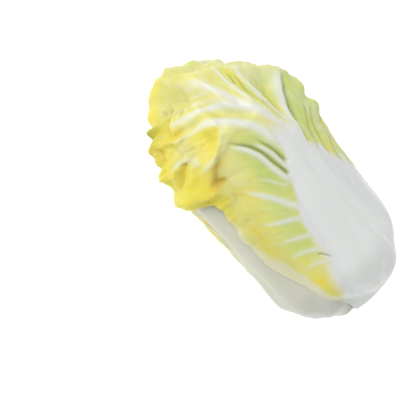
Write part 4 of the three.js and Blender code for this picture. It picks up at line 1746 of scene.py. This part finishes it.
@dataclass
class HeartPiece:
    """The heart: a bud of small leaves whose edges wind up it one over the other.

    Attributes:
        head: the head it is in.
        rows: rings from the stem to the crown's pole.
        sides: points round a ring.
    """

    head: Head
    rows: int = 96
    sides: int = 150

    GAP = 1.6
    DEPTH = 2.4
    FOLDS = 5
    RISE = 150.0
    OPENS = (0, 40.0)
    EDGE_AT = (0.75, 0.06)
    EDGE_HEIGHT = 1.2
    WAVES = 0.5
    VEIN = 0.35
    VEIN_WIDTH = 0.09
    VEIN_FINER = 1.6
    VEIN_RISE = 60.0
    BLISTER_RISE = 16.0
    NOISE_RING = 6.0
    NOISE_AT = 20.0
    POLE_OUT = 0.5
    UV_RADIUS = 20.0
    SEED = 61

    def build(self) -> bpy.types.Object:
        """Makes the bud. The folds have the frame's depth and pitch; each rises gently and drops at its edge,
        and fine veins and blisters lie on it.

        Returns:
            The heart's object.
        """
        head = self.head
        rings = SHEATH.s_pole * np.arange(1, self.rows) / self.rows
        turn, s = np.meshgrid(2 * pi * np.arange(self.sides) / self.sides, rings)
        place = SHEATH.place(turn, s, np.zeros_like(s))
        wind = self.FOLDS * turn + 2 * pi * s / self.RISE
        fold = 0.5 + 0.5 * np.sin(wind)
        edge = dome((wind / (2 * pi)) % 1.0, *self.EDGE_AT)
        grain = Grain(self.SEED)
        x, y = (self.NOISE_RING * way(turn) + self.NOISE_AT for way in (np.cos, np.sin))
        slow = grain.noise(x, y + s / self.BLISTER_RISE)
        vein = np.abs(grain.noise(self.VEIN_FINER * x, self.VEIN_FINER * y + s / self.VEIN_RISE))
        vein = np.clip(1 - vein / self.VEIN_WIDTH, 0, 1)
        opened = ramp(*self.OPENS, s)
        depth = opened * (self.DEPTH * fold + self.EDGE_HEIGHT * edge - self.WAVES * slow - self.VEIN * vein)
        points = head.world(place, head.heart_radius(place) - self.GAP - depth, head.press(place))
        pole = SHEATH.place(np.zeros(1), np.full(1, SHEATH.s_pole), np.zeros(1))
        end = head.world(pole, head.heart_radius(pole) - self.GAP, head.press(pole))[0]
        start = points[0].mean(0) + np.array([self.POLE_OUT * MM, 0.0, 0.0])
        marks = {
            "white": np.clip(0.9 * ramp(200, 40, s) + 0.5 * vein * opened, 0, 1),
            "green": np.zeros_like(s),
            "rich": 0.3 + 0.5 * fold,
            # painted shade: the drop at each fold's edge drawn a darker orange and towards olive
            "hollow_shade": 0.6 * edge * opened,
            "shade": 0.3 * edge * opened,
        }
        uv = np.stack([turn * self.UV_RADIUS, s], axis=-1) / UV_UNIT
        return closed_skin("heart_fresh", start, points, end, uv, marks)


@dataclass
class StemPiece:
    """The cut stub and the cone that the leaves spring from.

    Attributes:
        head: the head it is in.
        sides: points round it.
        face_rings: rings on the cut face.
        cone_rings: rings up the cone.
    """

    head: Head
    sides: int = 128
    face_rings: int = 44
    cone_rings: int = 48

    GAP = 0.35
    STUB = 3.0
    ROUND = 1.6
    ROUND_RINGS = 8
    FIRST_RING = 0.03
    RINGS_CROWD = 0.9
    UNEVEN = 0.35
    GROWTH_RINGS = (0.10, 2.6)
    BUNDLES = (0.72, 0.07)
    BUNDLE_COUNT = 26
    BUNDLE_DIP = 0.25
    SCAR = 0.25
    SCAR_RISE = 3.0
    RIM = (0.88, 0.99)
    SEED = 71

    def build(self) -> bpy.types.Object:
        """Makes the stem: a cut face with low rings, a worn rim, and a cone with the scars of leaf bases.

        Returns:
            The stem's object.
        """
        wide = SHEATH.low_centre * tan(SHEATH.cone_angle) - self.GAP / cos(SHEATH.cone_angle)
        apex = SHEATH.low_centre - self.GAP / sin(SHEATH.cone_angle)
        face = np.linspace(self.FIRST_RING, 1, self.face_rings) ** self.RINGS_CROWD
        bend = np.linspace(0, pi / 2, self.ROUND_RINGS + 1)[1:]
        up = np.linspace(0, 1, self.cone_rings)[:-1]
        flat = wide - self.ROUND
        radius = np.concatenate([face * flat, flat + self.ROUND * np.sin(bend), wide * (1 - up)])
        axial = np.concatenate([0 * face - self.STUB, self.ROUND * (1 - np.cos(bend)) - self.STUB, apex * up])
        turn, radius = np.meshgrid(2 * pi * np.arange(self.sides) / self.sides, radius)
        axial = axial[:, None] + 0 * radius
        grain = Grain(self.SEED)
        x, y = radius * np.cos(turn), radius * np.sin(turn)

        def noise(size: float) -> Array:
            """Noise over the cut face with squares of this size."""
            return grain.noise(x / size + 30, y / size + 30)

        share = radius / wide
        low, close = self.GROWTH_RINGS
        rings = low * np.sin(radius * close + 1.5 * noise(9))
        bundle = dome(share, *self.BUNDLES)
        knots = np.clip(np.sin(self.BUNDLE_COUNT * turn + 2 * noise(6)), 0, 1)
        dip = self.UNEVEN * (0.5 + 0.5 * noise(7)) + rings + self.BUNDLE_DIP * bundle * knots
        on_face = axial < -self.STUB + 0.01
        axial = np.where(on_face, axial + np.clip(dip, 0, 1) * ramp(0, 0.1, share), axial)
        scar = self.SCAR * np.clip(np.sin(axial / self.SCAR_RISE + 2 * turn), 0, 1) * (axial > 1)
        radius = radius - scar * ramp(0, 6, radius)
        place = Place(axial, np.zeros_like(axial), np.cos(turn), np.sin(turn))
        points = self.head.world(place, radius, np.ones_like(radius))
        ends = Place(np.array([-self.STUB, apex]), np.zeros(2), np.ones(2), np.zeros(2))
        start, end = self.head.world(ends, np.zeros(2), np.ones(2))
        marks = {
            "ring": bundle * (0.35 + 0.65 * knots) * on_face,
            "rim": ramp(*self.RIM, share) * (axial < 1),
        }
        uv = np.stack([x, y], axis=-1) / UV_UNIT
        return closed_skin("stem_fresh", start, points, end, uv, marks)


# --- The stage ---


@dataclass(frozen=True)
class Stage:
    """Floor, light and camera.

    Attributes:
        toward_crown: how far the camera leans from straight above towards the crown.
        toward_front: how far it leans towards -Y.
        roll: the way the head's +X runs in the frame, turned from the frame's right.
        distance: from the camera to the head's middle, in metres.
        width: what the frame spans there, in metres.
        aim: where the head's middle is in the frame, right and up of its centre, in metres.
        floor_side: the side of the floor, in metres.
        floor_drop: how far it lies under the head, in metres.
        floor_grey: its colour.
        floor_rough: its roughness.
        glow: the strength of its own light, and of the world's.
        key_aside: how far the key light is to the frame's right and up, for one metre towards the camera.
        key_away: how far it is from the head, in metres.
        key_size: its side, in metres.
        key_watts: its power.
    """

    toward_crown: float = radians(12)
    toward_front: float = radians(20)
    roll: float = radians(-48.6)
    distance: float = 0.9
    width: float = 0.386
    aim: tuple[float, float] = (0.0655, 0.0135)
    floor_side: float = 8.0
    floor_drop: float = 0.0003
    floor_grey: float = 0.6
    floor_rough: float = 0.7
    glow: float = 0.66
    key_aside: tuple[float, float] = (-0.3, 0.5)
    key_away: float = 1.6
    key_size: float = 1.0
    key_watts: float = 11.2

    def axes(self) -> tuple[Vector, Vector, Vector]:
        """The frame's right and up, and the way back to the camera.

        Returns:
            The three directions, each of length 1.
        """
        back = Vector((-tan(self.toward_crown), -tan(self.toward_front), 1.0)).normalized()
        along = (Vector((1, 0, 0)) - Vector((1, 0, 0)).dot(back) * back).normalized()
        beside = back.cross(along)
        right = cos(self.roll) * along - sin(self.roll) * beside
        return right, back.cross(right), back

    def camera(self, middle: Vector) -> bpy.types.Object:
        """Makes the camera.

        Args:
            middle: the head's middle.

        Returns:
            The camera.
        """
        right, up, back = self.axes()
        data = bpy.data.cameras.new("camera")
        data.angle = 2 * np.arctan(self.width / 2 / self.distance)
        data.dof.use_dof = False
        camera = bpy.data.objects.new("camera", data)
        camera.rotation_mode = "QUATERNION"
        camera.rotation_quaternion = Matrix((right, up, back)).transposed().to_quaternion()
        camera.location = middle - self.aim[0] * right - self.aim[1] * up + self.distance * back
        bpy.context.scene.collection.objects.link(camera)
        bpy.context.scene.camera = camera
        return camera

    def key(self) -> bpy.types.Object:
        """Makes the key light, a square soft one that faces the head.

        Returns:
            The light.
        """
        right, up, back = self.axes()
        towards = (back + self.key_aside[1] * up + self.key_aside[0] * right).normalized()
        data = bpy.data.lights.new("key", "AREA")
        data.shape, data.size, data.energy = "SQUARE", self.key_size, self.key_watts
        lamp = bpy.data.objects.new("key", data)
        lamp.location = towards * self.key_away
        lamp.rotation_mode = "QUATERNION"
        lamp.rotation_quaternion = towards.to_track_quat("Z", "Y")
        bpy.context.scene.collection.objects.link(lamp)
        return lamp

    def floor(self) -> bpy.types.Object:
        """Makes the floor, which glows as brightly as the world round it.

        Returns:
            The floor.
        """
        half = self.floor_side / 2
        corners = np.array([[-half, -half], [half, -half], [half, half], [-half, half]])
        points = np.column_stack([corners, np.full(4, -self.floor_drop)])
        floor = add_mesh("floor", points, np.array([[0, 1, 2, 3]]), corners, {})
        material = bpy.data.materials.new("pale_floor")
        material.use_nodes = True
        inputs = material.node_tree.nodes["Principled BSDF"].inputs
        inputs["Base Color"].default_value = (*[self.floor_grey] * 3, 1)
        inputs["Roughness"].default_value = self.floor_rough
        inputs["Emission Color"].default_value = (1, 1, 1, 1)
        inputs["Emission Strength"].default_value = self.glow
        floor.data.materials.append(material)
        return floor

    def build(self, middle: Vector) -> None:
        """Makes the floor, the light and the camera.

        Args:
            middle: the head's middle.
        """
        scene = bpy.context.scene
        self.floor()
        world = bpy.data.worlds.new("studio")
        world.use_nodes = True
        background = world.node_tree.nodes["Background"].inputs
        background["Color"].default_value = (1, 1, 1, 1)
        background["Strength"].default_value = self.glow
        scene.world = world
        self.key()
        self.camera(middle)
        scene.view_settings.view_transform = "Standard"


# --- The whole ---


Piece = tuple[bpy.types.Object, str, bpy.types.Material, str]


def leaf_pieces(head: Head, grain: bpy.types.NodeTree) -> list[Piece]:
    """Builds every leaf.

    Args:
        head: the head.
        grain: the shared pattern of tissue.

    Returns:
        For each leaf its object, the node it replaces, its material and its slot.
    """
    outer = LeafFinish("outer_leaf_tissue").material(grain)
    older = LeafFinish("older_leaf_tissue", white=(0.595, 0.60, 0.54)).material(grain)
    inner = LeafFinish("inner_leaf_tissue", green=(0.66, 0.68, 0.22), rich=(0.82, 0.72, 0.16)).material(grain)
    pieces = []
    for leaf in head.leaves:
        kind = FrontLeaf if leaf.layer is Layer.FRONT else LeafPiece
        finish = inner if leaf.layer is Layer.INNER else older if leaf.rank == OLDER_RANK else outer
        where = "inner_leaf" if leaf.layer is Layer.INNER else "outer_leaf"
        pieces.append((kind(head, leaf).build(), leaf.name, finish, where))
    return pieces


def main() -> None:
    """Builds every piece of the head, then the stage."""
    logging.basicConfig(level=logging.INFO, format="%(name)s: %(message)s")
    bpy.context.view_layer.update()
    head = Head.from_frame()
    grain = grain_group()
    pieces = leaf_pieces(head, grain)
    heart = LeafFinish("heart_tissue", pale=(0.78, 0.72, 0.28), rich=(0.82, 0.68, 0.12)).material(grain)
    cut = CutFinish("cut_tissue").material(grain)
    pieces.append((HeartPiece(head).build(), "heart", heart, "heart_leaf"))
    pieces.append((StemPiece(head).build(), "stem", cut, "cut_stem"))
    for piece, node, finish, where in pieces:
        piece.data.materials.append(finish)
        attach(piece, BODY)
        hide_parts(node)
        log.info("%s: %d faces", piece.name, len(piece.data.polygons))
    Stage().build(Vector((0.0, head.offset[1] * MM, SHEATH.rest_height * MM)))


if __name__ == "__main__":
    main()
